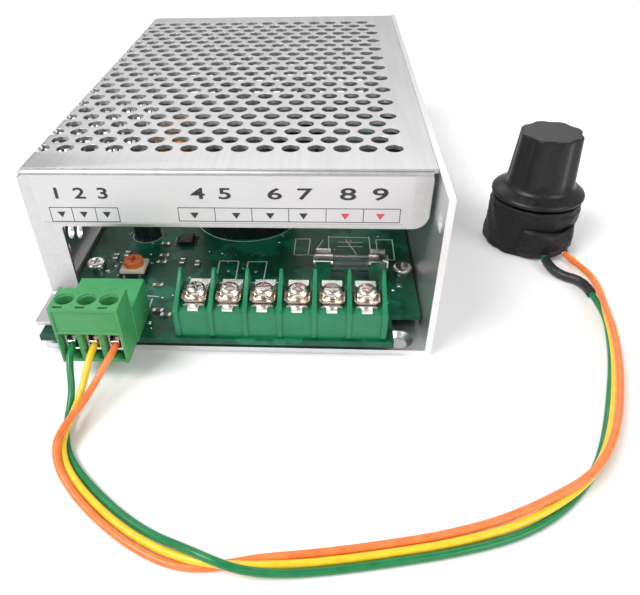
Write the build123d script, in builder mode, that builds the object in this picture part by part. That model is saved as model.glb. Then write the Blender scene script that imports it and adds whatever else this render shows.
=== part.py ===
from build123d import *
import math
import os

os.makedirs("parts", exist_ok=True)

# Electronic motor speed controller: an aluminium chassis with a perforated cover, a printed
# circuit board with its terminals, and a remote potentiometer with a knob on three free wires.
# Millimetres. Origin at the centre of the chassis base's underside: X to the right, Y to the
# back (the terminals face -Y), Z up. Everything stands on z = 0.

# ---- driving dimensions ------------------------------------------------------------------
LEN = 160.0            # case length, along Y
WID = 98.0             # case width, along X
HGT = 42.0             # case height
T = 1.5                # chassis sheet
TC = 1.0               # cover sheet
XL, XR = -WID / 2, WID / 2
Y0, Y1 = -LEN / 2, LEN / 2
WALL_IN = XR - T       # inner face of the right wall
SKIRT_Y = -66.8        # front face of the cover's skirt
SKIRT_Z = 27.7         # lower edge of the skirt
LEG_W = 7.6            # width of the cover's left leg
TAB_Z = 8.0            # top of the leg's bent tab
HOLE_R = 2.15          # perforation radius
HOLE_DX = 6.136        # perforation pitch across a row
HOLE_DY = 5.314        # distance between rows
HOLE_Y0 = -53.97       # first row
BASE_HOLE_X, BASE_HOLE_Y = 41.5, 75.8   # two countersunk base holes on a line
SIDE_HOLE_Y, SIDE_HOLE_Z = 74.8, 34.0   # two holes in the right wall
PCB_Z0, PCB_T = 4.0, 1.6
PCB = PCB_Z0 + PCB_T   # top of the board
BAR_X, BAR_P, BAR_N = 12.1, 8.25, 6     # barrier block: centre, pitch, poles
BAR_Y0, BAR_Y1 = -81.0, -69.0
BAR_Z = 13.0           # top of the block between its fins
TERM_Y = -75.0         # line of the terminal screws
POLES = [BAR_X + (k - 2.5) * BAR_P for k in range(BAR_N)]
PLUG_X, PLUG_P = -30.05, 5.08           # three-way plug: centre and pitch
PLUG_Y0, PLUG_Y1 = -92.0, -83.6
PLUG_Z0, PLUG_Z1 = 6.0, 21.5
WAYS = [PLUG_X + (k - 1) * PLUG_P for k in range(3)]
WELL_Y = -88.0         # line of the plug's screws
WIRE_D = 1.6           # insulated wire
SLEEVE_D = 2.6         # heat-shrink sleeve on the green wire
PX, PY = 85.7, -22.0   # potentiometer axis


# ---- chassis -------------------------------------------------------------------------------
with BuildPart() as chassis:
    with BuildSketch(Plane.XY):
        with Locations(((XL + TC + XR) / 2, 0)):
            Rectangle(XR - XL - TC, LEN)
    extrude(amount=T)
    with BuildSketch(Plane.XY):
        with Locations((WALL_IN + T / 2, 0)):
            Rectangle(T, LEN)
    extrude(amount=HGT)
    # low left flange that takes the cover's screws
    with BuildSketch(Plane.XY):
        with Locations((XL + TC + T / 2, 8.0)):
            Rectangle(T, 140.0)
    extrude(amount=7.0)
    with Locations((BASE_HOLE_X, -BASE_HOLE_Y, T), (BASE_HOLE_X, BASE_HOLE_Y, T)):
        CounterSinkHole(radius=2.1, counter_sink_radius=3.5, counter_sink_angle=100)
    # mounting holes, then the power transistors' screw holes, all through the right wall
    with Locations(
        Location((XR, -SIDE_HOLE_Y, SIDE_HOLE_Z), (0, 90, 0)),
        Location((XR, SIDE_HOLE_Y, SIDE_HOLE_Z), (0, 90, 0)),
    ):
        Hole(radius=2.3, depth=3.0)
    with Locations(*[Location((XR, y, 26.5), (0, 90, 0)) for y in (-24.0, 6.0, 36.0)]):
        Hole(radius=1.5, depth=3.0)
    # countersunk holes for the cover's right-hand screws, plain holes for its left-hand ones
    with Locations(*[Location((XR, y, 37.5), (0, 90, 0)) for y in (-40.0, 50.0)]):
        CounterSinkHole(radius=1.6, counter_sink_radius=2.7, depth=3.0)
    with Locations(*[Location((XL + TC, y, 3.6), (0, -90, 0)) for y in (-45.0, 5.0, 60.0)]):
        Hole(radius=1.5, depth=3.0)
chassis.part.label = "chassis"
export_step(chassis.part, "parts/chassis.step")

# ---- cover: one bent sheet, as its flat faces -----------------------------------------------
top_holes = []
for r in range(24):
    y = HOLE_Y0 + HOLE_DY * r
    first = -47.44 + (HOLE_DX / 2 if r % 2 else 0.0)
    for i in range(15 - r % 2):
        x = first + HOLE_DX * i
        if x > XL + HOLE_R + 0.8:
            top_holes.append((x, y))
with BuildPart() as cover_top:
    with BuildSketch(Plane.XY.offset(HGT - TC)):
        with Locations(((XL + WALL_IN) / 2, (SKIRT_Y + Y1) / 2)):
            Rectangle(WALL_IN - XL, Y1 - SKIRT_Y)
        with Locations(*top_holes):
            Circle(HOLE_R, mode=Mode.SUBTRACT)
    extrude(amount=TC)
cover_top.part.label = "cover_top"
export_step(cover_top.part, "parts/cover_top.step")

# the same staggered pattern runs over the bend and down the left side
side_holes = []
for r in range(24):
    y = HOLE_Y0 + HOLE_DY * r
    for j in range(1, 6):
        z = HGT - (HOLE_DX * j - (1.56 if r % 2 == 0 else 4.63))
        if z < HGT - TC - HOLE_R - 0.8:
            side_holes.append((z, y))
with BuildPart() as cover_side:
    # sketch plane faces +X: its x runs along Z and its y along Y
    with BuildSketch(Plane(origin=(XL, 0, 0), x_dir=(0, 0, 1), z_dir=(-1, 0, 0))):
        with Locations(((HGT - TC + 0.6) / 2, (SKIRT_Y + Y1 - TC) / 2)):
            Rectangle(HGT - TC - 0.6, Y1 - TC - SKIRT_Y)
        with Locations(*side_holes):
            Circle(HOLE_R, mode=Mode.SUBTRACT)
    extrude(amount=-TC)
    with Locations(*[Location((XL, y, 3.6), (0, -90, 0)) for y in (-45.0, 5.0, 60.0)]):
        CounterSinkHole(radius=1.6, counter_sink_radius=2.5, depth=2.0)
cover_side.part.label = "cover_side"
export_step(cover_side.part, "parts/cover_side.step")

with BuildPart() as cover_front:
    # the skirt, with its lower right corner rounded
    with BuildSketch(Plane.XZ.offset(-SKIRT_Y)) as skirt_sk:
        with BuildLine():
            Polyline(
                (XL + TC, HGT - TC), (XL + TC, SKIRT_Z), (42.0, SKIRT_Z), (46.5, SKIRT_Z + 4.5),
                (46.5, HGT - TC), close=True,
            )
        make_face()
        fillet(
            [skirt_sk.vertices().group_by(Axis.Y)[0].sort_by(Axis.X)[-1],
             skirt_sk.vertices().group_by(Axis.Y)[1][0]],
            3.0,
        )
    extrude(amount=-TC)
cover_front.part.label = "cover_front"
export_step(cover_front.part, "parts/cover_front.step")

with BuildPart() as cover_leg:
    # the strip that runs down at the left and bends forward over the board's corner
    with BuildSketch(Plane.XZ.offset(-SKIRT_Y)):
        with Locations((XL + TC + (LEG_W - TC) / 2, (SKIRT_Z + TAB_Z - TC) / 2)):
            Rectangle(LEG_W - TC, SKIRT_Z - TAB_Z + TC)
    extrude(amount=-TC)
    with BuildSketch(Plane.XY.offset(TAB_Z - TC)):
        with Locations((XL + LEG_W / 2, (SKIRT_Y - 79.7) / 2)):
            Rectangle(LEG_W, 79.7 + SKIRT_Y)
    extrude(amount=TC)
cover_leg.part.label = "cover_leg"
export_step(cover_leg.part, "parts/cover_leg.step")

with BuildPart() as cover_back:
    with BuildSketch(Plane.XZ.offset(-Y1)):
        with Locations(((XL + WALL_IN) / 2, (T + HGT - TC) / 2)):
            Rectangle(WALL_IN - XL, HGT - TC - T)
        with Locations(*[(-36.0 + 7.2 * i, 12.0 + 6.2 * j) for i in range(11) for j in range(4)]):
            Circle(HOLE_R, mode=Mode.SUBTRACT)
    extrude(amount=TC)
cover_back.part.label = "cover_back"
export_step(cover_back.part, "parts/cover_back.step")

with BuildPart() as cover_lip:
    # the flange inside the right wall that the cover's right-hand screws pull up
    with BuildSketch(Plane.XY.offset(34.0)):
        with Locations((WALL_IN - TC / 2, 5.0)):
            Rectangle(TC, 130.0)
    extrude(amount=HGT - TC - 34.0)
    with Locations(*[Location((WALL_IN, y, 37.5), (0, 90, 0)) for y in (-40.0, 50.0)]):
        Hole(radius=1.5, depth=2.0)
cover_lip.part.label = "cover_lip"
export_step(cover_lip.part, "parts/cover_lip.step")

with BuildPart() as cover_screws:
    # countersunk M3 screws, flush with the sheet: three at the left, two at the right
    for y in (-45.0, 5.0, 60.0):
        with BuildSketch(Plane(origin=(XL, y, 3.6), z_dir=(1, 0, 0))):
            Circle(2.35)
        extrude(amount=0.9, taper=42)
        with BuildSketch(Plane(origin=(XL + 0.8, y, 3.6), z_dir=(1, 0, 0))):
            Circle(1.45)
        extrude(amount=1.6)
    for y in (-40.0, 50.0):
        with BuildSketch(Plane(origin=(XR, y, 37.5), z_dir=(-1, 0, 0))):
            Circle(2.55)
        extrude(amount=1.0, taper=42)
        with BuildSketch(Plane(origin=(XR - 0.9, y, 37.5), z_dir=(-1, 0, 0))):
            Circle(1.45)
        extrude(amount=2.4)
cover_screws.part.label = "cover_screws"
export_step(cover_screws.part, "parts/cover_screws.step")

with BuildPart() as front_label:
    # plastic label on the skirt, its right end rounded at the bottom
    with BuildSketch(Plane.XZ.offset(-SKIRT_Y)) as label_sk:
        with Locations(((-45.9 + 42.5) / 2, (28.6 + 40.9) / 2)):
            Rectangle(42.5 + 45.9, 40.9 - 28.6)
        fillet(label_sk.vertices().group_by(Axis.Y)[0].sort_by(Axis.X)[-1:], 2.5)
    extrude(amount=0.2)
front_label.part.label = "front_label"
export_step(front_label.part, "parts/front_label.step")

# ---- circuit board -------------------------------------------------------------------------
BOARD_SCREWS = [(44.0, -51.5), (-42.2, -51.0), (43.0, 66.0), (-42.2, 66.0)]
PIN_Y = -68.4
with BuildPart() as circuit_board:
    with BuildSketch(Plane.XY.offset(PCB_Z0)):
        with BuildLine():
            Polyline(
                (-47.6, -82.0), (39.5, -82.0), (39.5, -71.0), (47.0, -71.0), (47.0, 72.0),
                (-46.0, 72.0), (-46.0, -66.0), (-47.6, -66.0), close=True,
            )
        make_face()
        with Locations(*BOARD_SCREWS):
            Circle(1.65, mode=Mode.SUBTRACT)
        with Locations(*[(x, PIN_Y) for x in POLES]):
            Circle(0.9, mode=Mode.SUBTRACT)
        with Locations(*[(x, -72.6) for x in WAYS]):
            Circle(0.8, mode=Mode.SUBTRACT)
    extrude(amount=PCB_T)
circuit_board.part.label = "circuit_board"
export_step(circuit_board.part, "parts/circuit_board.step")

with BuildPart() as board_standoffs:
    with BuildSketch(Plane.XY.offset(T)):
        with Locations(*BOARD_SCREWS):
            RegularPolygon(3.0, 6)
            Circle(1.5, mode=Mode.SUBTRACT)
    extrude(amount=PCB_Z0 - T)
board_standoffs.part.label = "board_standoffs"
export_step(board_standoffs.part, "parts/board_standoffs.step")

with BuildPart() as board_screws:
    # M3 pan-head screws with a cross recess
    with BuildSketch(Plane.XY.offset(T + 0.2)):
        with Locations(*BOARD_SCREWS):
            Circle(1.45)
    extrude(amount=PCB - T - 0.2)
    with BuildSketch(Plane.XY.offset(PCB)):
        with Locations(*BOARD_SCREWS):
            Circle(2.75)
    extrude(amount=2.0)
    fillet(board_screws.edges().group_by(Axis.Z)[-1], 0.8)
    with BuildSketch(Plane.XY.offset(PCB + 2.0)):
        with Locations(*BOARD_SCREWS):
            Rectangle(3.0, 0.6)
            Rectangle(0.6, 3.0)
    extrude(amount=-1.1, mode=Mode.SUBTRACT)
board_screws.part.label = "board_screws"
export_step(board_screws.part, "parts/board_screws.step")

# ---- six-way barrier terminal block ----------------------------------------------------------
with BuildPart() as barrier_contacts:
    # a plate under each screw, with a tab at the front and a solder leg at the back
    for x in POLES:
        with BuildSketch(Plane.XY.offset(BAR_Z)):
            with Locations((x, (-79.3 - 68.0) / 2)):
                Rectangle(5.2, 11.3)
            with Locations((x, -80.0)):
                Rectangle(2.6, 1.6)
            with Locations((x, TERM_Y)):
                Circle(1.5, mode=Mode.SUBTRACT)
        extrude(amount=0.8)
        with BuildSketch(Plane.XY.offset(2.8)):
            with Locations((x, PIN_Y)):
                Rectangle(1.2, 0.8)
        extrude(amount=BAR_Z - 2.8)
barrier_contacts.part.label = "barrier_contacts"
export_step(barrier_contacts.part, "parts/barrier_contacts.step")

FINS = [BAR_X + (k - 3) * BAR_P for k in range(7)]
with BuildPart() as barrier_block:
    with BuildSketch(Plane.XY.offset(PCB)):
        with Locations((BAR_X, (BAR_Y0 + BAR_Y1) / 2)):
            Rectangle(BAR_N * BAR_P + 1.8, BAR_Y1 - BAR_Y0)
    extrude(amount=BAR_Z - PCB)
    with Locations(*[(x, TERM_Y, BAR_Z) for x in POLES]):
        Hole(radius=1.8, depth=6.0)
    # the upright fins between the poles, highest at the back
    for x in FINS:
        with BuildSketch(Plane.YZ.offset(x - 0.9)):
            with BuildLine():
                Polyline(
                    (BAR_Y0 - 0.4, PCB), (BAR_Y0 - 0.4, BAR_Z + 0.4), (-71.6, 18.4), (-70.2, 18.8),
                    (-69.6, 18.2), (BAR_Y1, BAR_Z), (BAR_Y1, PCB), close=True,
                )
            make_face()
        extrude(amount=1.8)
barrier_block.part.label = "barrier_block"
export_step(barrier_block.part, "parts/barrier_block.step")

CLAMP_Z = BAR_Z + 0.85
for k, x in enumerate(POLES):
    with BuildPart() as terminal_clamp:
        # square washer with its two side edges turned up
        with BuildSketch(Plane.XY.offset(CLAMP_Z)):
            with Locations((x, TERM_Y)):
                Rectangle(6.0, 6.6)
                Circle(1.5, mode=Mode.SUBTRACT)
        extrude(amount=0.8)
        with BuildSketch(Plane.XY.offset(CLAMP_Z + 0.8)):
            with Locations((x - 2.75, TERM_Y), (x + 2.75, TERM_Y)):
                Rectangle(0.5, 5.0)
        extrude(amount=0.9)
    terminal_clamp.part.label = f"terminal_clamp_{k + 1}"
    export_step(terminal_clamp.part, f"parts/terminal_clamp_{k + 1}.step")

    with BuildPart() as terminal_screw:
        # M3 pan-head screw, free to turn in the washer
        with Locations((x, TERM_Y, CLAMP_Z + 0.85)):
            Cylinder(2.45, 1.9, align=(Align.CENTER, Align.CENTER, Align.MIN))
        fillet(terminal_screw.edges().group_by(Axis.Z)[-1], 0.7)
        with Locations((x, TERM_Y, 8.0)):
            Cylinder(1.44, CLAMP_Z + 0.85 - 8.0, align=(Align.CENTER, Align.CENTER, Align.MIN))
        with BuildSketch(Plane.XY.offset(CLAMP_Z + 2.75)):
            with Locations((x, TERM_Y)):
                Rectangle(3.2, 0.6)
                Rectangle(0.6, 3.2)
        extrude(amount=-1.0, mode=Mode.SUBTRACT)
    terminal_screw.part.label = f"terminal_screw_{k + 1}"
    export_step(terminal_screw.part, f"parts/terminal_screw_{k + 1}.step")

# ---- three-way plug and its socket -----------------------------------------------------------
with BuildPart() as header_pins:
    for x in WAYS:
        with BuildSketch(Plane.YZ.offset(x - 0.5)):
            with BuildLine():
                Polyline(
                    (-79.5, 10.0), (-79.5, 11.0), (-72.1, 11.0), (-72.1, 3.0), (-73.1, 3.0),
                    (-73.1, 10.0), close=True,
                )
            make_face()
        extrude(amount=1.0)
header_pins.part.label = "header_pins"
export_step(header_pins.part, "parts/header_pins.step")

with BuildPart() as header_socket:
    with BuildSketch(Plane.XY.offset(PCB)):
        with Locations((PLUG_X, -77.25)):
            Rectangle(15.9, 12.5)
    extrude(amount=15.5 - PCB)
    with BuildSketch(Plane.XZ.offset(83.5)):
        with Locations((PLUG_X, 10.6)):
            Rectangle(13.5, 7.6)
    extrude(amount=-9.0, mode=Mode.SUBTRACT)
    add(header_pins.part, mode=Mode.SUBTRACT)
header_socket.part.label = "header_socket"
export_step(header_socket.part, "parts/header_socket.step")

with BuildPart() as plug_housing:
    with BuildSketch(Plane.XY.offset(PLUG_Z0)):
        with Locations((PLUG_X, (PLUG_Y0 + PLUG_Y1) / 2)):
            Rectangle(15.6, PLUG_Y1 - PLUG_Y0)
    extrude(amount=PLUG_Z1 - PLUG_Z0)
    # tongue that enters the socket
    with BuildSketch(Plane.XZ.offset(-PLUG_Y1)):
        with Locations((PLUG_X, 10.6)):
            Rectangle(13.1, 7.2)
    extrude(amount=-8.4)
    # wire openings with the cages' chambers behind them
    with BuildSketch(Plane.XZ.offset(-PLUG_Y0)):
        with Locations(*[(x, 10.7) for x in WAYS]):
            Rectangle(3.9, 7.4)
    extrude(amount=-7.0, mode=Mode.SUBTRACT)
    # tunnels for the contact bars and the header's pins
    with BuildSketch(Plane.XZ.offset(85.2)):
        with Locations(*[(x, 10.7) for x in WAYS]):
            Rectangle(2.4, 2.6)
    extrude(amount=-12.0, mode=Mode.SUBTRACT)
    # screw wells
    with Locations(*[(x, WELL_Y, PLUG_Z1) for x in WAYS]):
        Hole(radius=1.9, depth=6.0)
    with Locations(*[(x, WELL_Y, 16.0) for x in WAYS]):
        Hole(radius=1.3, depth=2.0)
    # small release slots in front of the wells
    with BuildSketch(Plane.XY.offset(PLUG_Z1)):
        with Locations(*[(x - 0.6, -91.0) for x in WAYS]):
            Rectangle(2.0, 0.8)
    extrude(amount=-2.0, mode=Mode.SUBTRACT)
plug_housing.part.label = "plug_housing"
export_step(plug_housing.part, "parts/plug_housing.step")

with BuildPart() as plug_contacts:
    with BuildSketch(Plane.XY.offset(11.1)):
        with Locations(*[(x, -84.2) for x in WAYS]):
            Rectangle(1.9, 13.0)
    extrude(amount=0.55)
plug_contacts.part.label = "plug_contacts"
export_step(plug_contacts.part, "parts/plug_contacts.step")

for k, x in enumerate(WAYS):
    with BuildPart() as plug_cage:
        # rising cage: a square tube whose floor lifts the wire onto the contact bar
        with BuildSketch(Plane.XZ.offset(90.2)):
            with Locations((x, 11.4)):
                Rectangle(3.5, 5.6)
            with Locations((x, 11.3)):
                Rectangle(2.3, 4.0, mode=Mode.SUBTRACT)
        extrude(amount=-4.4)
        with Locations((x, WELL_Y, 14.2)):
            Hole(radius=1.06, depth=1.2)
    plug_cage.part.label = f"plug_cage_{k + 1}"
    export_step(plug_cage.part, f"parts/plug_cage_{k + 1}.step")

    with BuildPart() as plug_screw:
        # captive slotted screw
        with Locations((x, WELL_Y, 15.55)):
            Cylinder(1.55, 1.8, align=(Align.CENTER, Align.CENTER, Align.MIN))
        with Locations((x, WELL_Y, 11.75)):
            Cylinder(1.0, 3.8, align=(Align.CENTER, Align.CENTER, Align.MIN))
        with BuildSketch(Plane.XY.offset(17.35)):
            with Locations((x, WELL_Y)):
                Rectangle(3.6, 0.6, rotation=25)
        extrude(amount=-0.9, mode=Mode.SUBTRACT)
    plug_screw.part.label = f"plug_screw_{k + 1}"
    export_step(plug_screw.part, f"parts/plug_screw_{k + 1}.step")

# ---- trimmer ---------------------------------------------------------------------------------
TRX, TRY = -30.4, -53.4
with BuildPart() as trimmer_base:
    with BuildSketch(Plane.XY.offset(PCB)):
        with Locations((TRX, TRY)):
            RectangleRounded(7.0, 6.8, 0.5)
    extrude(amount=2.6)
    with BuildSketch(Plane.XY.offset(PCB + 2.6)):
        with Locations((TRX, TRY)):
            Circle(1.05)
    extrude(amount=-1.4, mode=Mode.SUBTRACT)
trimmer_base.part.label = "trimmer_base"
export_step(trimmer_base.part, "parts/trimmer_base.step")

with BuildPart() as trimmer_rotor:
    with BuildSketch(Plane.XY.offset(PCB + 2.7)):
        with Locations((TRX, TRY)):
            Circle(2.75)
    extrude(amount=1.7)
    fillet(trimmer_rotor.edges().group_by(Axis.Z)[-1], 0.4)
    with BuildSketch(Plane.XY.offset(PCB + 1.4)):
        with Locations((TRX, TRY)):
            Circle(1.0)
    extrude(amount=1.4)
    with BuildSketch(Plane.XY.offset(PCB + 4.4)):
        with Locations((TRX, TRY)):
            Rectangle(3.2, 0.7)
            Rectangle(0.7, 3.2)
    extrude(amount=-0.9, mode=Mode.SUBTRACT)
trimmer_rotor.part.label = "trimmer_rotor"
export_step(trimmer_rotor.part, "parts/trimmer_rotor.step")

# ---- fuse in its clips -------------------------------------------------------------------------
FX, FY, FZ = 29.6, -53.0, 9.2
with BuildPart() as fuse_glass:
    with BuildSketch(Plane(origin=(FX - 9.4, FY, FZ), z_dir=(1, 0, 0))):
        Circle(2.4)
        Circle(1.9, mode=Mode.SUBTRACT)
    extrude(amount=18.8)
fuse_glass.part.label = "fuse_glass"
export_step(fuse_glass.part, "parts/fuse_glass.step")

with BuildPart() as fuse_caps:
    # end caps, joined to the thin fuse wire by a solder bead each
    for s in (-1, 1):
        with BuildSketch(Plane(origin=(FX + s * 10.0, FY, FZ), z_dir=(-s, 0, 0))):
            Circle(2.6)
        extrude(amount=5.2)
        with BuildSketch(Plane(origin=(FX + s * 9.4, FY, FZ), z_dir=(-s, 0, 0))):
            Circle(2.42)
        extrude(amount=4.6, mode=Mode.SUBTRACT)
fuse_caps.part.label = "fuse_caps"
export_step(fuse_caps.part, "parts/fuse_caps.step")

with BuildPart() as fuse_clips:
    for x in (FX - 7.4, FX + 7.4):
        with BuildSketch(Plane.YZ.offset(x - 2.1)):
            with Locations((FY, PCB + 0.3)):
                Rectangle(6.8, 0.6)
            with Locations((FY - 3.1, PCB + 3.2), (FY + 3.1, PCB + 3.2)):
                Rectangle(0.6, 5.8)
        extrude(amount=4.2)
fuse_clips.part.label = "fuse_clips"
export_step(fuse_clips.part, "parts/fuse_clips.step")

# ---- other parts on the board ------------------------------------------------------------------
with BuildPart() as bulk_capacitor:
    with Locations((-2.0, -20.0, PCB)):
        Cylinder(15.5, 31.5, align=(Align.CENTER, Align.CENTER, Align.MIN))
    fillet(bulk_capacitor.edges(), 1.2)
bulk_capacitor.part.label = "bulk_capacitor"
export_step(bulk_capacitor.part, "parts/bulk_capacitor.step")

with BuildPart() as small_capacitor:
    with Locations((-31.5, -33.0, PCB)):
        Cylinder(4.0, 11.5, align=(Align.CENTER, Align.CENTER, Align.MIN))
    fillet(small_capacitor.edges(), 0.5)
small_capacitor.part.label = "small_capacitor"
export_step(small_capacitor.part, "parts/small_capacitor.step")

with BuildPart() as choke:
    # toroidal choke lying flat
    with BuildSketch(Plane(origin=(-26.0, 24.0, 0), x_dir=(1, 0, 0), z_dir=(0, -1, 0))):
        with Locations((11.0, PCB + 6.4)):
            RectangleRounded(8.5, 12.6, 2.5)
    revolve(axis=Axis((-26.0, 24.0, 0), (0, 0, 1)))
choke.part.label = "choke"
export_step(choke.part, "parts/choke.step")

with BuildPart() as bridge_rectifier:
    # flat bridge rectifier standing on four leads
    with BuildSketch(Plane.XY.offset(PCB + 3.5)):
        with Locations((10.0, 30.0)):
            RectangleRounded(25.0, 4.6, 0.4)
    extrude(amount=15.0)
    with BuildSketch(Plane.XY.offset(PCB)):
        with Locations(*[(10.0 + dx, 30.0) for dx in (-9.0, -1.5, 3.5, 9.0)]):
            Rectangle(1.0, 1.0)
    extrude(amount=3.5)
bridge_rectifier.part.label = "bridge_rectifier"
export_step(bridge_rectifier.part, "parts/bridge_rectifier.step")

TR_Y = (-24.0, 6.0, 36.0)
with BuildPart() as power_transistors:
    for y in TR_Y:
        with BuildSketch(Plane.YZ.offset(46.0)):
            with Locations((y, 21.5)):
                Rectangle(10.0, 15.0)
            with Locations((y, 26.5)):
                Circle(1.8, mode=Mode.SUBTRACT)
        extrude(amount=1.3)
        with BuildSketch(Plane.YZ.offset(42.9)):
            with Locations((y, 18.6)):
                Rectangle(10.0, 9.2)
        extrude(amount=3.1)
        with BuildSketch(Plane.XY.offset(PCB)):
            with Locations((44.6, y - 2.54), (44.6, y), (44.6, y + 2.54)):
                Rectangle(0.6, 0.9)
        extrude(amount=14.0 - PCB)
power_transistors.part.label = "power_transistors"
export_step(power_transistors.part, "parts/power_transistors.step")

with BuildPart() as insulating_pads:
    for y in TR_Y:
        with BuildSketch(Plane.YZ.offset(47.3)):
            with Locations((y, 21.0)):
                Rectangle(12.0, 18.0)
            with Locations((y, 26.5)):
                Circle(1.6, mode=Mode.SUBTRACT)
        extrude(amount=0.2)
insulating_pads.part.label = "insulating_pads"
export_step(insulating_pads.part, "parts/insulating_pads.step")

with BuildPart() as transistor_screws:
    for y in TR_Y:
        with BuildSketch(Plane.YZ.offset(44.0)):
            with Locations((y, 26.5)):
                Circle(2.75)
        extrude(amount=2.0)
        with BuildSketch(Plane.YZ.offset(46.0)):
            with Locations((y, 26.5)):
                Circle(1.45)
        extrude(amount=2.9)
transistor_screws.part.label = "transistor_screws"
export_step(transistor_screws.part, "parts/transistor_screws.step")

with BuildPart() as control_chip:
    with BuildSketch(Plane.XY.offset(PCB + 0.15)):
        with Locations((-18.6, -36.6)):
            Rectangle(4.0, 5.0)
    extrude(amount=1.6)
    chamfer(control_chip.edges().group_by(Axis.Z)[-1], 0.3)
    with BuildSketch(Plane.XY.offset(PCB)):
        with Locations(*[(-18.6 + s * 2.6, -36.6 + d) for s in (-1, 1) for d in (-1.9, -0.63, 0.63, 1.9)]):
            Rectangle(1.4, 0.45)
    extrude(amount=0.7)
control_chip.part.label = "control_chip"
export_step(control_chip.part, "parts/control_chip.step")

with BuildPart() as small_parts:
    # chip resistors and capacitors
    for x, y, w, d in (
        (-20.0, -71.4, 2.0, 1.3), (-17.6, -73.2, 2.0, 1.3), (-38.0, -46.0, 1.3, 2.0),
        (-35.0, -44.5, 1.3, 2.0), (-24.0, -48.5, 2.0, 1.3), (-24.0, -45.0, 2.0, 1.3),
        (-18.0, -48.0, 1.3, 2.0), (-13.5, -49.0, 1.3, 2.0), (-25.0, -38.5, 2.0, 1.3),
        (-22.5, -60.0, 2.0, 1.3),
    ):
        with BuildSketch(Plane.XY.offset(PCB)):
            with Locations((x, y)):
                Rectangle(w, d)
        extrude(amount=0.6)
small_parts.part.label = "small_parts"
export_step(small_parts.part, "parts/small_parts.step")

# ---- wires ------------------------------------------------------------------------------------
# Route points of each wire, from inside the plug to inside the potentiometer's wrapping. The
# three cross over each other twice at the left and once at the right.
GREEN = [
    (-35.13, -88.6, 10.2), (-35.15, -92.9, 10.05), (-34.5, -96.4, 7.6), (-33.75, -99.6, 4.3),
    (-33.7, -103.2, 2.1), (-33.3, -106.9, 1.05), (-32.45, -110.3, 0.9), (-30.76, -114.01, 0.85),
    (-28.07, -117.74, 0.85), (-24.13, -121.72, 0.85), (-19.12, -126.06, 0.85),
    (-13.59, -130.17, 0.98), (-7.77, -133.63, 1.48), (-2.36, -136.51, 3.26), (2.5, -139.06, 4.45),
    (7.63, -140.42, 3.4), (12.75, -140.18, 1.78), (19.42, -139.41, 0.98), (27.41, -138.13, 0.85),
    (36.54, -136.36, 0.85), (45.85, -134.38, 0.85), (55.25, -131.66, 0.85), (61.71, -128.8, 0.85),
    (67.78, -124.74, 0.85), (73.39, -119.35, 0.85), (77.94, -113.45, 0.85), (81.44, -106.93, 0.85),
    (84.74, -99.45, 0.85), (88.04, -91.1, 0.85), (91.29, -82.38, 0.85), (93.99, -73.05, 0.85),
    (95.9, -64.38, 0.85), (95.6, -59.4, 1.3), (95.25, -54.6, 1.4), (94.9, -50.6, 1.45),
    (93.2, -47.6, 1.45), (90.4, -46.2, 1.45), (88.3, -43.6, 1.5), (87.3, -40.2, 1.75),
    (87.0, -36.8, 1.9),
]
YELLOW = [
    (-30.05, -88.6, 10.2), (-30.1, -92.9, 10.1), (-30.6, -96.2, 8.0), (-31.2, -99.4, 5.2),
    (-31.75, -103.0, 3.5), (-32.1, -106.8, 2.75), (-32.14, -110.4, 2.65), (-31.61, -114.29, 2.41),
    (-29.34, -118.65, 1.75), (-25.37, -122.99, 1.16), (-20.25, -127.47, 0.85),
    (-14.59, -131.67, 0.91), (-8.59, -135.2, 1.16), (-2.8, -137.77, 2.05), (2.49, -139.12, 2.65),
    (7.54, -139.15, 2.12), (12.52, -138.46, 1.32), (19.16, -137.63, 0.91), (27.09, -136.36, 0.85),
    (36.18, -134.59, 0.88), (45.42, -132.64, 0.98), (54.71, -130.02, 1.35), (61.08, -127.47, 1.88),
    (67.29, -123.99, 2.41), (73.39, -119.35, 2.65), (78.25, -113.67, 2.61), (81.99, -107.21, 2.54),
    (85.37, -99.71, 2.52), (88.57, -91.28, 2.56), (91.48, -82.43, 2.64), (93.87, -73.03, 2.65),
    (95.35, -64.29, 2.6), (96.35, -59.2, 2.85), (97.15, -53.9, 2.75), (97.25, -48.9, 2.6),
    (96.4, -44.2, 2.1), (95.5, -40.2, 1.8), (95.0, -36.8, 1.75),
]
ORANGE = [
    (-24.97, -88.6, 10.2), (-25.1, -92.9, 10.2), (-26.6, -96.0, 8.6), (-28.2, -99.3, 6.4),
    (-29.6, -103.3, 5.1), (-31.0, -107.0, 4.5), (-31.95, -110.6, 4.35), (-32.47, -114.58, 3.97),
    (-30.61, -119.55, 2.65), (-26.6, -124.27, 1.48), (-21.37, -128.87, 0.85),
    (-15.58, -133.17, 0.87), (-9.4, -136.78, 0.85), (-3.25, -139.03, 0.86), (2.48, -139.19, 0.85),
    (7.46, -137.88, 0.86), (12.3, -136.73, 0.85), (18.91, -135.85, 0.86), (26.78, -134.59, 0.85),
    (35.83, -132.83, 0.91), (44.99, -130.9, 1.1), (54.17, -128.37, 1.84), (60.44, -126.14, 2.91),
    (66.79, -123.23, 3.97), (73.39, -119.35, 4.45), (78.55, -113.89, 4.37), (82.54, -107.49, 4.23),
    (85.99, -99.96, 4.19), (89.09, -91.47, 4.27), (91.66, -82.49, 4.43), (93.74, -73.0, 4.44),
    (94.8, -64.19, 4.3), (95.35, -59.0, 4.45), (95.6, -53.6, 4.45), (95.4, -48.6, 4.35),
    (94.6, -44.1, 3.6), (93.4, -40.2, 3.1), (92.8, -36.8, 3.0),
]


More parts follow.
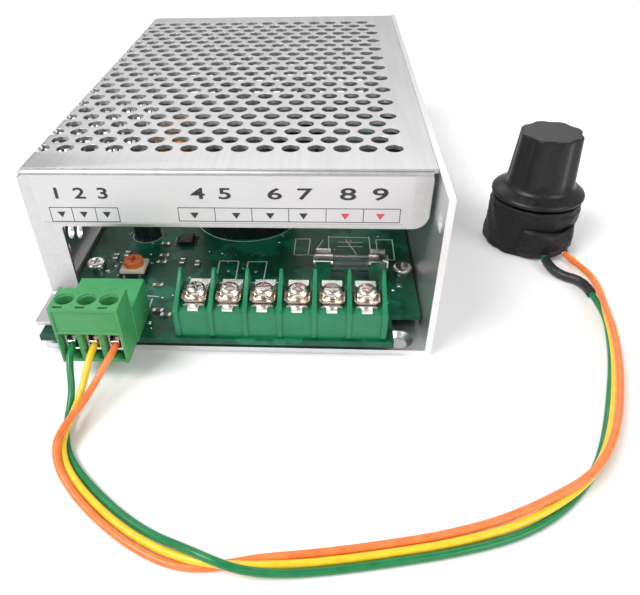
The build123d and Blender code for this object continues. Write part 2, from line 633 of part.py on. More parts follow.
def arc_radii(points):
    """Corner radii of 0.45 of the shorter run beside each corner over tan(half its turn)."""
    v = [Vector(*p) for p in points]
    radii = []
    for a, b, c in zip(v, v[1:], v[2:]):
        turn = math.radians((b - a).get_angle(c - b))
        radii.append(0.45 * min((b - a).length, (c - b).length) / math.tan(turn / 2))
    return radii


print("wire radii, smallest first")
for wire_name, pts in (("green", GREEN), ("yellow", YELLOW), ("orange", ORANGE)):
    print(wire_name, [round(r, 1) for r in sorted(arc_radii(pts))[:8]])

with BuildPart() as wire_green:
    with BuildLine() as green_path:
        FilletPolyline(*[Vector(*p) for p in GREEN], radius=arc_radii(GREEN))
    with BuildSketch(Plane(origin=GREEN[0], z_dir=green_path.line % 0)):
        Circle(WIRE_D / 2)
    sweep()
print("green length", round(green_path.wires()[0].length, 1), "volume ratio",
      round(wire_green.part.volume / (math.pi * WIRE_D**2 / 4 * green_path.wires()[0].length), 4))
wire_green.part.label = "wire_green"
export_step(wire_green.part, "parts/wire_green.step")

with BuildPart() as wire_yellow:
    with BuildLine() as yellow_path:
        FilletPolyline(*[Vector(*p) for p in YELLOW], radius=arc_radii(YELLOW))
    with BuildSketch(Plane(origin=YELLOW[0], z_dir=yellow_path.line % 0)):
        Circle(WIRE_D / 2)
    sweep()
print("yellow length", round(yellow_path.wires()[0].length, 1), "volume ratio",
      round(wire_yellow.part.volume / (math.pi * WIRE_D**2 / 4 * yellow_path.wires()[0].length), 4))
wire_yellow.part.label = "wire_yellow"
export_step(wire_yellow.part, "parts/wire_yellow.step")

with BuildPart() as wire_orange:
    with BuildLine() as orange_path:
        FilletPolyline(*[Vector(*p) for p in ORANGE], radius=arc_radii(ORANGE))
    with BuildSketch(Plane(origin=ORANGE[0], z_dir=orange_path.line % 0)):
        Circle(WIRE_D / 2)
    sweep()
print("orange length", round(orange_path.wires()[0].length, 1), "volume ratio",
      round(wire_orange.part.volume / (math.pi * WIRE_D**2 / 4 * orange_path.wires()[0].length), 4))
wire_orange.part.label = "wire_orange"
export_step(wire_orange.part, "parts/wire_orange.step")

# heat-shrink sleeve round the green wire's last stretch, from the tangent point after its
# seventh-last corner to just outside the potentiometer's wrapping
with BuildPart() as wire_sleeve:
    with BuildLine() as sleeve_path:
        tail = GREEN[-8:]
        start = Vector(*tail[0]) + (Vector(*tail[1]) - Vector(*tail[0])) * 0.5
        stop = Vector(*tail[-2]) + (Vector(*tail[-1]) - Vector(*tail[-2])) * 0.55
        mid = tail[1:-1]
        FilletPolyline(start, *[Vector(*p) for p in mid], stop, radius=arc_radii(tail))
    with BuildSketch(Plane(origin=start, z_dir=sleeve_path.line % 0)):
        Circle(SLEEVE_D / 2)
        Circle(WIRE_D / 2 + 0.12, mode=Mode.SUBTRACT)
    sweep()
wire_sleeve.part.label = "wire_sleeve"
export_step(wire_sleeve.part, "parts/wire_sleeve.step")

# ---- potentiometer with its knob ------------------------------------------------------------
with BuildPart() as pot_terminals:
    # resistive track disc and three lugs
    with BuildSketch(Plane.XY.offset(2.2)):
        with Locations((PX, PY)):
            Circle(10.8)
            Circle(4.0, mode=Mode.SUBTRACT)
    extrude(amount=0.6)
    for x, y in ((86.5, -31.0), (90.5, -30.0), (93.4, -27.5)):
        with BuildSketch(Plane.XY.offset(2.2)):
            with Locations((x, (y - 35.4) / 2)):
                Rectangle(1.8, y + 35.4)
        extrude(amount=0.6)
pot_terminals.part.label = "pot_terminals"
export_step(pot_terminals.part, "parts/pot_terminals.step")

with BuildPart() as pot_case:
    with Locations((PX, PY, 1.0)):
        Cylinder(12.0, 10.2, align=(Align.CENTER, Align.CENTER, Align.MIN))
    with Locations((PX, PY, 1.9)):
        Cylinder(11.0, 8.0, align=(Align.CENTER, Align.CENTER, Align.MIN), mode=Mode.SUBTRACT)
    with Locations((PX, PY, 9.0)):
        Cylinder(4.5, 3.0, align=(Align.CENTER, Align.CENTER, Align.MIN), mode=Mode.SUBTRACT)
    add(pot_terminals.part, mode=Mode.SUBTRACT)
pot_case.part.label = "pot_case"
export_step(pot_case.part, "parts/pot_case.step")

with BuildPart() as pot_bushing:
    # threaded bushing with its hexagon nut
    with Locations((PX, PY, 9.9)):
        Cylinder(4.5, 8.1, align=(Align.CENTER, Align.CENTER, Align.MIN))
    with BuildSketch(Plane.XY.offset(12.6)):
        with Locations((PX, PY)):
            RegularPolygon(5.6, 6)
    extrude(amount=2.2)
    with Locations((PX, PY, 18.0)):
        Hole(radius=3.05, depth=9.0)
pot_bushing.part.label = "pot_bushing"
export_step(pot_bushing.part, "parts/pot_bushing.step")

with BuildPart() as pot_shaft:
    # shaft with the wiper on its lower end
    with Locations((PX, PY, 4.2)):
        Cylinder(3.0, 26.0, align=(Align.CENTER, Align.CENTER, Align.MIN))
    with BuildSketch(Plane.XY.offset(4.2)):
        with Locations((PX, PY)):
            Circle(5.0)
        with Locations((PX + 4.0, PY)):
            RectangleRounded(10.0, 3.0, 1.0)
    extrude(amount=1.2)
pot_shaft.part.label = "pot_shaft"
export_step(pot_shaft.part, "parts/pot_shaft.step")

with BuildPart() as pot_boot:
    # heat-shrink boot round the case, bulged at the front where it wraps the lugs
    with BuildSketch(Plane.XY):
        with Locations((PX, PY)):
            Circle(13.4)
    extrude(amount=14.4)
    fillet(pot_boot.edges().group_by(Axis.Z)[-1], 1.0)
    with BuildSketch(Plane.XY):
        with Locations((89.4, -33.0)):
            RectangleRounded(13.6, 10.8, 2.5)
    extrude(amount=7.6)
    with BuildSketch(Plane.XY.offset(1.0)):
        with Locations((PX, PY)):
            Circle(12.05)
        with Locations((89.6, -33.3)):
            RectangleRounded(11.4, 7.6, 1.5)
    extrude(amount=5.4, mode=Mode.SUBTRACT)
    with BuildSketch(Plane.XY.offset(6.4)):
        with Locations((PX, PY)):
            Circle(12.05)
    extrude(amount=9.0, mode=Mode.SUBTRACT)
    # the holes that the wires come out of
    for route, r in ((GREEN, 1.65), (YELLOW, 1.25), (ORANGE, 1.25)):
        out = Vector(*route[-2]) - Vector(*route[-1])
        with BuildSketch(Plane(origin=Vector(*route[-1]) - out.normalized() * 0.4, z_dir=out)):
            Circle(r)
        extrude(amount=3.2, mode=Mode.SUBTRACT)
pot_boot.part.label = "pot_boot"
export_step(pot_boot.part, "parts/pot_boot.step")

with BuildPart() as knob:
    # bevelled skirt, then a fluted body that narrows upward
    with BuildSketch(Plane.XY.offset(15.4)):
        with Locations((PX, PY)):
            Circle(13.2)
    extrude(amount=1.6)
    with BuildSketch(Plane.XY.offset(17.0)):
        with Locations((PX, PY)):
            Circle(13.2)
    extrude(amount=1.6, taper=52)
    with BuildSketch(Plane.XY.offset(18.0)):
        with Locations((PX, PY)):
            Circle(9.9)
    extrude(amount=15.7, taper=4.6)
    with BuildSketch(Plane.XY.offset(18.8)):
        with Locations((PX, PY)):
            with PolarLocations(12.6, 8, start_angle=10):
                Circle(3.5)
    extrude(amount=15.2, taper=-4.6, mode=Mode.SUBTRACT)
    fillet(knob.edges().group_by(Axis.Z)[-1], 0.5)
    # hollow under the skirt for the bushing and nut, then the bore for the shaft
    with BuildSketch(Plane.XY.offset(15.4)):
        with Locations((PX, PY)):
            Circle(7.4)
    extrude(amount=3.4, mode=Mode.SUBTRACT)
    with BuildSketch(Plane.XY.offset(15.4)):
        with Locations((PX, PY)):
            Circle(3.0)
    extrude(amount=14.8, mode=Mode.SUBTRACT)
knob.part.label = "knob"
export_step(knob.part, "parts/knob.step")
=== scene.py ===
import math

import bmesh
import bpy
from mathutils import Matrix, Vector, noise


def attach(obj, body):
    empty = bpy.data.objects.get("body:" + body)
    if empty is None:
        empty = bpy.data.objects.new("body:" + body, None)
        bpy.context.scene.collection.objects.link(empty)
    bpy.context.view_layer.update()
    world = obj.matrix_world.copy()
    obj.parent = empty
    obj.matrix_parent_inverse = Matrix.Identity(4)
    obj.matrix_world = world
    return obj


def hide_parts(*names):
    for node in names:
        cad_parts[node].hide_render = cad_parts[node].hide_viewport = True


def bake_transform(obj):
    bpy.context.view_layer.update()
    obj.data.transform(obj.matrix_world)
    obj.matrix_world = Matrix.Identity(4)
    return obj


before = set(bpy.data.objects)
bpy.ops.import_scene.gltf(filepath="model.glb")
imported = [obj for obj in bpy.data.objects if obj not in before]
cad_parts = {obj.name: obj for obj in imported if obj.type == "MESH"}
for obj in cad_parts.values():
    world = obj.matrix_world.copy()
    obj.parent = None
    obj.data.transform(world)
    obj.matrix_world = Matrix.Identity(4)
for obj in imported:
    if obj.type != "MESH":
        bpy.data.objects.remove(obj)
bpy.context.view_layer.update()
MM = 0.001
scene = bpy.context.scene
scene.view_settings.view_transform = "Standard"
scene.view_settings.look = "None"


# ---- materials ---------------------------------------------------------------------------
def material(name, dark, light, rough=0.4, spread=0.08, metal=0.0, scale=180.0, bump=0.05,
             stretch=(1, 1, 1), edge=0.0, coat=0.0, specular=0.5, detail=4.0, speck=None,
             dist=0.0002, sss=0.0):
    """Principled material whose colour, roughness and surface follow noise."""
    m = bpy.data.materials.new(name)
    m.use_nodes = True
    t = m.node_tree
    t.nodes.clear()
    out = t.nodes.new("ShaderNodeOutputMaterial")
    p = t.nodes.new("ShaderNodeBsdfPrincipled")
    t.links.new(p.outputs["BSDF"], out.inputs["Surface"])
    co = t.nodes.new("ShaderNodeTexCoord")
    mp = t.nodes.new("ShaderNodeMapping")
    mp.inputs["Scale"].default_value = stretch
    t.links.new(co.outputs["Object"], mp.inputs["Vector"])
    n = t.nodes.new("ShaderNodeTexNoise")
    n.inputs["Scale"].default_value = scale
    n.inputs["Detail"].default_value = detail
    n.inputs["Roughness"].default_value = 0.6
    t.links.new(mp.outputs["Vector"], n.inputs["Vector"])
    ramp = t.nodes.new("ShaderNodeValToRGB")
    ramp.color_ramp.elements[0].position = 0.3
    ramp.color_ramp.elements[0].color = (*dark, 1)
    ramp.color_ramp.elements[1].position = 0.7
    ramp.color_ramp.elements[1].color = (*light, 1)
    t.links.new(n.outputs["Fac"], ramp.inputs["Fac"])
    colour = ramp.outputs["Color"]
    if speck:
        v = t.nodes.new("ShaderNodeTexNoise")
        v.inputs["Scale"].default_value = speck[0]
        v.inputs["Detail"].default_value = 2.0
        t.links.new(co.outputs["Object"], v.inputs["Vector"])
        r2 = t.nodes.new("ShaderNodeValToRGB")
        r2.color_ramp.elements[0].position = speck[1]
        r2.color_ramp.elements[0].color = (0, 0, 0, 1)
        r2.color_ramp.elements[1].position = speck[2]
        r2.color_ramp.elements[1].color = (1, 1, 1, 1)
        t.links.new(v.outputs["Fac"], r2.inputs["Fac"])
        mix = t.nodes.new("ShaderNodeMix")
        mix.data_type = "RGBA"
        t.links.new(r2.outputs["Color"], mix.inputs["Factor"])
        t.links.new(colour, mix.inputs["A"])
        mix.inputs["B"].default_value = (*speck[3], 1)
        colour = mix.outputs["Result"]
    t.links.new(colour, p.inputs["Base Color"])
    mr = t.nodes.new("ShaderNodeMapRange")
    mr.inputs["From Min"].default_value = 0.25
    mr.inputs["From Max"].default_value = 0.75
    mr.inputs["To Min"].default_value = max(0.02, rough - spread)
    mr.inputs["To Max"].default_value = rough + spread
    t.links.new(n.outputs["Fac"], mr.inputs["Value"])
    t.links.new(mr.outputs["Result"], p.inputs["Roughness"])
    p.inputs["Metallic"].default_value = metal
    p.inputs["Specular IOR Level"].default_value = specular
    p.inputs["Coat Weight"].default_value = coat
    p.inputs["Coat Roughness"].default_value = 0.15
    if sss:
        p.inputs["Subsurface Weight"].default_value = sss
        p.inputs["Subsurface Scale"].default_value = 0.001
    last = None
    if edge:
        bv = t.nodes.new("ShaderNodeBevel")
        bv.samples = 6
        bv.inputs["Radius"].default_value = edge
        last = bv.outputs["Normal"]
    if bump:
        b = t.nodes.new("ShaderNodeBump")
        b.inputs["Strength"].default_value = bump
        b.inputs["Distance"].default_value = dist
        t.links.new(n.outputs["Fac"], b.inputs["Height"])
        if last:
            t.links.new(last, b.inputs["Normal"])
        last = b.outputs["Normal"]
    if last:
        t.links.new(last, p.inputs["Normal"])
    return m


ALU = material("cover_aluminium", (0.55, 0.545, 0.55), (0.61, 0.604, 0.607), 0.38, 0.03, 1.0, 60, 0.015,
               stretch=(14, 0.6, 14), edge=0.00022)
ALU_IN = material("chassis_aluminium", (0.47, 0.47, 0.478), (0.60, 0.594, 0.594), 0.33, 0.07, 1.0, 55,
                  0.04, stretch=(14, 0.6, 14), edge=0.0002)
STEEL = material("plated_screws", (0.66, 0.60, 0.55), (0.86, 0.80, 0.74), 0.18, 0.07, 1.0, 420, 0.12)
WASHER = material("plated_washers", (0.62, 0.53, 0.47), (0.84, 0.74, 0.66), 0.22, 0.08, 1.0, 380,
                  0.12)
TIN = material("tin_plate", (0.74, 0.72, 0.70), (0.92, 0.90, 0.87), 0.17, 0.06, 1.0, 300, 0.08)
SOLDER = material("solder", (0.68, 0.69, 0.70), (0.90, 0.90, 0.90), 0.22, 0.10, 1.0, 700, 0.3)
LABEL = material("label_film", (0.585, 0.58, 0.59), (0.64, 0.635, 0.645), 0.38, 0.05, 0.25, 40, 0.02,
                 coat=0.25)
INK = material("label_ink", (0.012, 0.012, 0.015), (0.03, 0.03, 0.035), 0.45, 0.08, 0.0, 900, 0.05)
INK_RED = material("label_ink_red", (0.50, 0.03, 0.06), (0.66, 0.08, 0.11), 0.45, 0.08, 0.0, 900,
                   0.05)
SILK = material("silkscreen", (0.62, 0.68, 0.64), (0.78, 0.82, 0.79), 0.5, 0.1, 0.0, 900, 0.1)
PCB = material("solder_mask", (0.001, 0.050, 0.026), (0.004, 0.100, 0.052), 0.34, 0.08, 0.0, 240,
               0.10, coat=0.12, speck=(95, 0.53, 0.56, (0.007, 0.150, 0.078)), edge=0.0001,
               specular=0.3)
PCB_EDGE = material("board_pads", (0.66, 0.66, 0.62), (0.86, 0.86, 0.82), 0.25, 0.1, 1.0, 500, 0.2)
BARRIER = material("barrier_plastic", (0.005, 0.165, 0.070), (0.009, 0.212, 0.094), 0.34, 0.07, 0.0,
                   160, 0.06, edge=0.00025, sss=0.05)
PLUG = material("plug_plastic", (0.045, 0.265, 0.082), (0.060, 0.315, 0.108), 0.40, 0.07, 0.0, 220,
                0.09, edge=0.0003, sss=0.05)
SOCKET = material("socket_plastic", (0.035, 0.270, 0.090), (0.050, 0.325, 0.115), 0.42, 0.07, 0.0,
                  200, 0.09, edge=0.0002, sss=0.05)
BLACK = material("chip_black", (0.010, 0.010, 0.012), (0.028, 0.027, 0.030), 0.42, 0.1, 0.0, 600,
                 0.25)
SHRINK = material("capacitor_film", (0.008, 0.009, 0.015), (0.020, 0.021, 0.030), 0.24, 0.07, 0.0,
                  120, 0.05, coat=0.3)
CREAM = material("trimmer_plate", (0.66, 0.60, 0.44), (0.80, 0.75, 0.60), 0.38, 0.1, 0.0, 500, 0.1,
                 edge=0.0001)
ORANGE_P = material("trimmer_orange", (0.72, 0.150, 0.020), (0.86, 0.230, 0.045), 0.42, 0.1, 0.0,
                    500, 0.12)
CHIPS = material("chip_parts", (0.05, 0.04, 0.035), (0.30, 0.24, 0.19), 0.35, 0.1, 0.0, 600, 0.1)
PAD = material("insulating_pad", (0.42, 0.44, 0.46), (0.52, 0.54, 0.55), 0.6, 0.1, 0.0, 300, 0.1)
COPPER = material("choke_winding", (0.34, 0.12, 0.035), (0.60, 0.26, 0.08), 0.26, 0.08, 0.6, 300,
                  0.1)
BOOT = material("boot_rubber", (0.004, 0.004, 0.0045), (0.011, 0.0105, 0.0115), 0.50, 0.12, 0.0, 260,
                0.35, detail=8, dist=0.0004, specular=0.28)
KNOB = material("knob_plastic", (0.006, 0.006, 0.0065), (0.013, 0.0125, 0.0135), 0.36, 0.07, 0.0, 700,
                0.10, detail=6, specular=0.32)
KNOB_TOP = material("knob_top", (0.024, 0.022, 0.023), (0.040, 0.036, 0.037), 0.5, 0.08, 0.0, 900,
                    0.3, detail=8, specular=0.35)
BRASS = material("bushing_brass", (0.52, 0.40, 0.18), (0.74, 0.60, 0.32), 0.3, 0.1, 1.0, 300, 0.1)
W_GREEN = material("pvc_green", (0.003, 0.150, 0.040), (0.008, 0.215, 0.066), 0.34, 0.07, 0.0, 420,
                   0.12, sss=0.08)
W_YELLOW = material("pvc_yellow", (0.78, 0.48, 0.012), (0.90, 0.60, 0.030), 0.34, 0.07, 0.0, 420,
                    0.12, sss=0.08)
W_ORANGE = material("pvc_orange", (0.78, 0.155, 0.030), (0.90, 0.235, 0.060), 0.34, 0.07, 0.0, 420,
                    0.12, sss=0.08)
SLEEVE = material("shrink_tube", (0.008, 0.009, 0.011), (0.024, 0.025, 0.028), 0.42, 0.1, 0.0, 500,
                  0.3)


def glass_material():
    m = bpy.data.materials.new("fuse_glass")
    m.use_nodes = True
    t = m.node_tree
    p = t.nodes["Principled BSDF"]
    p.inputs["Transmission Weight"].default_value = 0.96
    p.inputs["IOR"].default_value = 1.45
    co = t.nodes.new("ShaderNodeTexCoord")
    n = t.nodes.new("ShaderNodeTexNoise")
    n.inputs["Scale"].default_value = 260
    t.links.new(co.outputs["Object"], n.inputs["Vector"])
    r = t.nodes.new("ShaderNodeValToRGB")
    r.color_ramp.elements[0].color = (0.86, 0.93, 0.92, 1)
    r.color_ramp.elements[1].color = (0.97, 0.99, 0.99, 1)
    t.links.new(n.outputs["Fac"], r.inputs["Fac"])
    t.links.new(r.outputs["Color"], p.inputs["Base Color"])
    mr = t.nodes.new("ShaderNodeMapRange")
    mr.inputs["To Min"].default_value = 0.02
    mr.inputs["To Max"].default_value = 0.09
    t.links.new(n.outputs["Fac"], mr.inputs["Value"])
    t.links.new(mr.outputs["Result"], p.inputs["Roughness"])
    return m


GLASS = glass_material()


# ---- mesh helpers -------------------------------------------------------------------------
def mesh_object(name, verts, faces, mats, body, slot=None, rep=(), smooth=40, index=None, mm=True):
    me = bpy.data.meshes.new(name)
    k = MM if mm else 1.0
    me.from_pydata([(x * k, y * k, z * k) for x, y, z in verts], [], faces)
    for m in mats if isinstance(mats, (list, tuple)) else [mats]:
        me.materials.append(m)
    if index:
        me.polygons.foreach_set("material_index", index)
    finish_mesh(me, smooth)
    o = bpy.data.objects.new(name, me)
    scene.collection.objects.link(o)
    if body:
        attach(o, body)
    if rep:
        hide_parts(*rep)
    return o


def finish_mesh(me, smooth):
    me.validate()
    me.update()
    me.polygons.foreach_set("use_smooth", [True] * len(me.polygons))
    me.set_sharp_from_angle(angle=math.radians(smooth))


def from_bmesh(name, bm, mats, body, rep=(), smooth=40):
    me = bpy.data.meshes.new(name)
    bm.to_mesh(me)
    bm.free()
    for m in mats if isinstance(mats, (list, tuple)) else [mats]:
        me.materials.append(m)
    finish_mesh(me, smooth)
    o = bpy.data.objects.new(name, me)
    scene.collection.objects.link(o)
    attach(o, body)
    if rep:
        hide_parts(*rep)
    return o


def add_lathe(bm, cx, cy, prof, n=48, shape=None, mat=0, caps=True):
    """Rings of (r, z) about a vertical axis; shape(angle, r, z) may change a point."""
    rings = []
    for r, z in prof:
        ring = []
        for i in range(n):
            a = 2 * math.pi * i / n
            rr, zz, dx, dy = r, z, 0.0, 0.0
            if shape:
                rr, zz, dx, dy = shape(a, r, z)
            ring.append(bm.verts.new(((cx + rr * math.cos(a) + dx) * MM,
                                      (cy + rr * math.sin(a) + dy) * MM, zz * MM)))
        rings.append(ring)
    for p, q in zip(rings, rings[1:]):
        for i in range(n):
            f = bm.faces.new((p[i], p[(i + 1) % n], q[(i + 1) % n], q[i]))
            f.material_index = mat
    if caps:
        f = bm.faces.new(list(reversed(rings[0])))
        f.material_index = mat
        f = bm.faces.new(rings[-1])
        f.material_index = mat
    return rings


def add_box(bm, lo, hi, mat=0, bevel=0.0, segments=2):
    x0, y0, z0 = (v * MM for v in lo)
    x1, y1, z1 = (v * MM for v in hi)
    vs = [bm.verts.new(p) for p in ((x0, y0, z0), (x1, y0, z0), (x1, y1, z0), (x0, y1, z0),
                                    (x0, y0, z1), (x1, y0, z1), (x1, y1, z1), (x0, y1, z1))]
    fs = []
    for q in ((3, 2, 1, 0), (4, 5, 6, 7), (0, 1, 5, 4), (1, 2, 6, 5), (2, 3, 7, 6), (3, 0, 4, 7)):
        f = bm.faces.new([vs[i] for i in q])
        f.material_index = mat
        fs.append(f)
    if bevel:
        edges = list({e for f in fs for e in f.edges})
        r = bmesh.ops.bevel(bm, geom=edges, offset=bevel * MM, segments=segments, affect="EDGES",
                            profile=0.6)
        for f in r["faces"]:
            f.material_index = mat


def add_prism(bm, pts, to3, depth, mat=0):
    """Closed outline of 2-D points, placed by to3(u, v, w), from w = 0 to depth."""
    a = [bm.verts.new(Vector(to3(u, v, 0.0)) * MM) for u, v in pts]
    b = [bm.verts.new(Vector(to3(u, v, depth)) * MM) for u, v in pts]
    n = len(pts)
    fs = [bm.faces.new(a), bm.faces.new(list(reversed(b)))]
    for i in range(n):
        fs.append(bm.faces.new((a[i], b[i], b[(i + 1) % n], a[(i + 1) % n])))
    for f in fs:
        f.material_index = mat
    return fs


def dress(node, mat, bevel=0.0, angle=35, extra=()):
    """A shown CAD node: its materials, and modifiers that weld it and round its edges."""
    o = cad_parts[node]
    o.data.materials.clear()
    o.data.materials.append(mat)
    for m in extra:
        o.data.materials.append(m)
    if bevel:
        w = o.modifiers.new("weld", "WELD")
        w.merge_threshold = 0.000002
        b = o.modifiers.new("edges", "BEVEL")
        b.width = bevel * MM
        b.segments = 2
        b.limit_method = "ANGLE"
        b.angle_limit = math.radians(angle)
        b.use_clamp_overlap = True
        b.harden_normals = False
    return o


def flat_fill(name, outline, holes, body_segments=20):
    """A flat triangulated mesh of a closed outline with round holes; mm in the XY plane."""
    cu = bpy.data.curves.new(name + "_fill", "CURVE")
    cu.dimensions = "2D"
    cu.fill_mode = "BOTH"

    def loop(points):
        s = cu.splines.new("POLY")
        s.points.add(len(points) - 1)
        for p, (x, y) in zip(s.points, points):
            p.co = (x * MM, y * MM, 0, 1)
        s.use_cyclic_u = True

    loop(outline)
    for x, y, r in holes:
        loop([(x + r * math.cos(2 * math.pi * i / body_segments),
               y + r * math.sin(2 * math.pi * i / body_segments)) for i in range(body_segments)])
    co = bpy.data.objects.new(name + "_fill", cu)
    scene.collection.objects.link(co)
    bpy.context.view_layer.update()
    dg = bpy.context.evaluated_depsgraph_get()
    me = bpy.data.meshes.new_from_object(co.evaluated_get(dg))
    bpy.data.objects.remove(co)
    bm = bmesh.new()
    bm.from_mesh(me)
    bpy.data.meshes.remove(me)
    bmesh.ops.remove_doubles(bm, verts=bm.verts, dist=1e-7)
    return bm


def cut_lines(bm, axis, places):
    for c in places:
        n = Vector((1, 0, 0)) if axis == 0 else Vector((0, 1, 0))
        bmesh.ops.bisect_plane(bm, geom=bm.verts[:] + bm.edges[:] + bm.faces[:], dist=1e-8,
                               plane_co=n * c * MM, plane_no=n)


def arc_pts(cx, cy, r, a0, a1, n=8):
    return [(cx + r * math.cos(math.radians(a0 + (a1 - a0) * i / n)),
             cy + r * math.sin(math.radians(a0 + (a1 - a0) * i / n))) for i in range(n + 1)]


def bent_sheet(bm, name, place, thickness, mats, body, rep, flip=False):
    """Bends a flat fill with place(u, v, depth) in mm and gives it the sheet's own thickness."""
    bmesh.ops.dissolve_degenerate(bm, dist=2e-6, edges=bm.edges[:])
    bm.normal_update()
    bad = [f for f in bm.faces if f.normal.z < 0]
    if bad:
        bmesh.ops.reverse_faces(bm, faces=bad)
    bm.verts.ensure_lookup_table()
    bm.verts.index_update()
    n = len(bm.verts)
    co = [Vector(place(v.co.x / MM, v.co.y / MM, 0.0)) * MM for v in bm.verts]
    co += [Vector(place(v.co.x / MM, v.co.y / MM, thickness)) * MM for v in bm.verts]
    faces = []
    for f in bm.faces:
        ids = [v.index for v in f.verts]
        faces += [ids, [i + n for i in reversed(ids)]]
        for lp in f.loops:
            if len(lp.edge.link_faces) == 1:
                p, q = lp.vert.index, lp.link_loop_next.vert.index
                faces.append([q, p, p + n, q + n])
    if flip:
        faces = [list(reversed(f)) for f in faces]
    bm.free()
    solid = bmesh.new()
    vs = [solid.verts.new(c) for c in co]
    for f in faces:
        solid.faces.new([vs[i] for i in f])
    solid.normal_update()
    return from_bmesh(name, solid, mats, body, rep, 30)


# ---- cover: perforated sheet bent over the left edge ----------------------------------------
R = 1.3
HX, HY, HR = 6.136, 5.314, 2.15
holes = []
for r in range(24):
    y = -53.97 + HY * r
    odd = r % 2
    first = -47.44 + (HX / 2 if odd else 0.0)
    for i in range(-5, 15 - odd):
        x = first + HX * i
        if x < -49 - 34.5:
            continue
        holes.append((x, y, HR))
SEG = 28
sheet = flat_fill("cover", [(-90.2, -65.7), (-49 + 0.0, -65.7), (-47.6, -65.4), (47.45, -65.4),
                            (47.45, 79.0), (-90.2, 79.0)], holes, SEG)
cut_lines(sheet, 0, [-49 - R + 2 * R * i / 6 for i in range(7)])


def on_cover(x, y, d):
    if x >= -49 + R:
        return x, y, 42.0 - d
    if x <= -49 - R:
        return -49.0 + d, y, 42.0 + 49.0 + x
    t = math.pi - (x - (-49 - R)) / (2 * R) * math.pi / 2
    return -49 + R + (R - d) * math.cos(t), y, 42 - R + (R - d) * math.sin(t)


bent_sheet(sheet, "cover_sheet", on_cover, 1.0, ALU, "case",
           ("cover_top", "cover_side"))

# front face: rolled edge, skirt, left leg and its tab
C = -65.6 - 0.0
out = [(-47.7, -1.2), (46.2, -1.2), (46.3, 1.2), (46.5, 1.6)]
out += [(x, v) for x, v in arc_pts(42.9, 10.7, 3.6, 0, 90)]
out += [(x, v) for x, v in reversed(arc_pts(-40.6, 15.1, 0.8, 180, 270, 4))]
out += [(x, v) for x, v in arc_pts(-42.4, 45.9, 1.0, 0, 90, 4)]
out += [(x, v) for x, v in arc_pts(-47.97, 45.9, 1.0, 90, 180, 4)]
out += [(-48.97, 1.6), (-47.9, 1.3)]
face = flat_fill("face", out, [], SEG)
r1, r2 = 1.2, 0.7
cut_lines(face, 1, [-r1 + 2 * r1 * i / 6 for i in range(7)] + [34 - r2 + 2 * r2 * i / 5 for i in range(6)])


def on_front(x, v, d):
    if v <= r1:
        t = math.pi / 2 * (v + r1) / (2 * r1)
        return x, -66.8 + r1 - (r1 - d) * math.sin(t), 42 - r1 + (r1 - d) * math.cos(t)
    if v <= 34 - r2:
        return x, -66.8 + d, 42 - v
    if v < 34 + r2:
        t = -math.pi / 2 * (v - 34 + r2) / (2 * r2)
        return x, -66.8 - r2 + (r2 + d) * math.cos(t), 8 + r2 + (r2 + d) * math.sin(t)
    return x, -66.8 - (v - 34), 8.0 - d


bent_sheet(face, "cover_face", on_front, 0.95, ALU, "case",
           ("cover_front", "cover_leg"), flip=True)

dress("cover_back", ALU, 0.12)
dress("cover_lip", ALU, 0.1)
dress("cover_screws", STEEL, 0.1)
dress("circuit_board", PCB, 0.0)
dress("board_standoffs", STEEL, 0.1)
dress("board_screws", TIN, 0.12)
dress("barrier_contacts", TIN, 0.1)
dress("header_socket", SOCKET, 0.2)
dress("header_pins", TIN, 0.1)
dress("plug_contacts", TIN, 0.08)
dress("front_label", LABEL, 0.05)
dress("trimmer_rotor", ORANGE_P, 0.1)
dress("fuse_glass", GLASS)
dress("fuse_caps", TIN, 0.25)
dress("fuse_clips", TIN, 0.12)
dress("bulk_capacitor", SHRINK, 0.1)
dress("small_capacitor", SHRINK, 0.1)
dress("choke", COPPER, 0.1)
dress("bridge_rectifier", BLACK, 0.2)
dress("power_transistors", BLACK, 0.15)
dress("insulating_pads", PAD)
dress("transistor_screws", STEEL, 0.15)
dress("control_chip", BLACK, 0.05)
dress("small_parts", CHIPS, 0.08)
dress("pot_case", TIN, 0.2)
dress("pot_bushing", BRASS, 0.15)
dress("pot_shaft", ALU_IN, 0.1)
dress("pot_terminals", TIN, 0.08)
for k in (1, 2, 3):
    dress(f"plug_cage_{k}", TIN, 0.1)
    dress(f"plug_screw_{k}", STEEL, 0.12)


# ---- label print: boxes, triangles and plain figures ------------------------------------------
def lines(segments, width, to3, depth, mat=0, bm=None):
    for (a, b), (c, d) in segments:
        dx, dy = c - a, d - b
        ln = math.hypot(dx, dy)
        ux, uy = dx / ln * width / 2, dy / ln * width / 2
        pts = [(a - ux + uy, b - uy - ux), (c + ux + uy, d + uy - ux),
               (c + ux - uy, d + uy + ux), (a - ux - uy, b - uy + ux)]
        add_prism(bm, pts, to3, depth, mat)


def on_label(u, v, w):
    return (u, -67.002 - w, v)


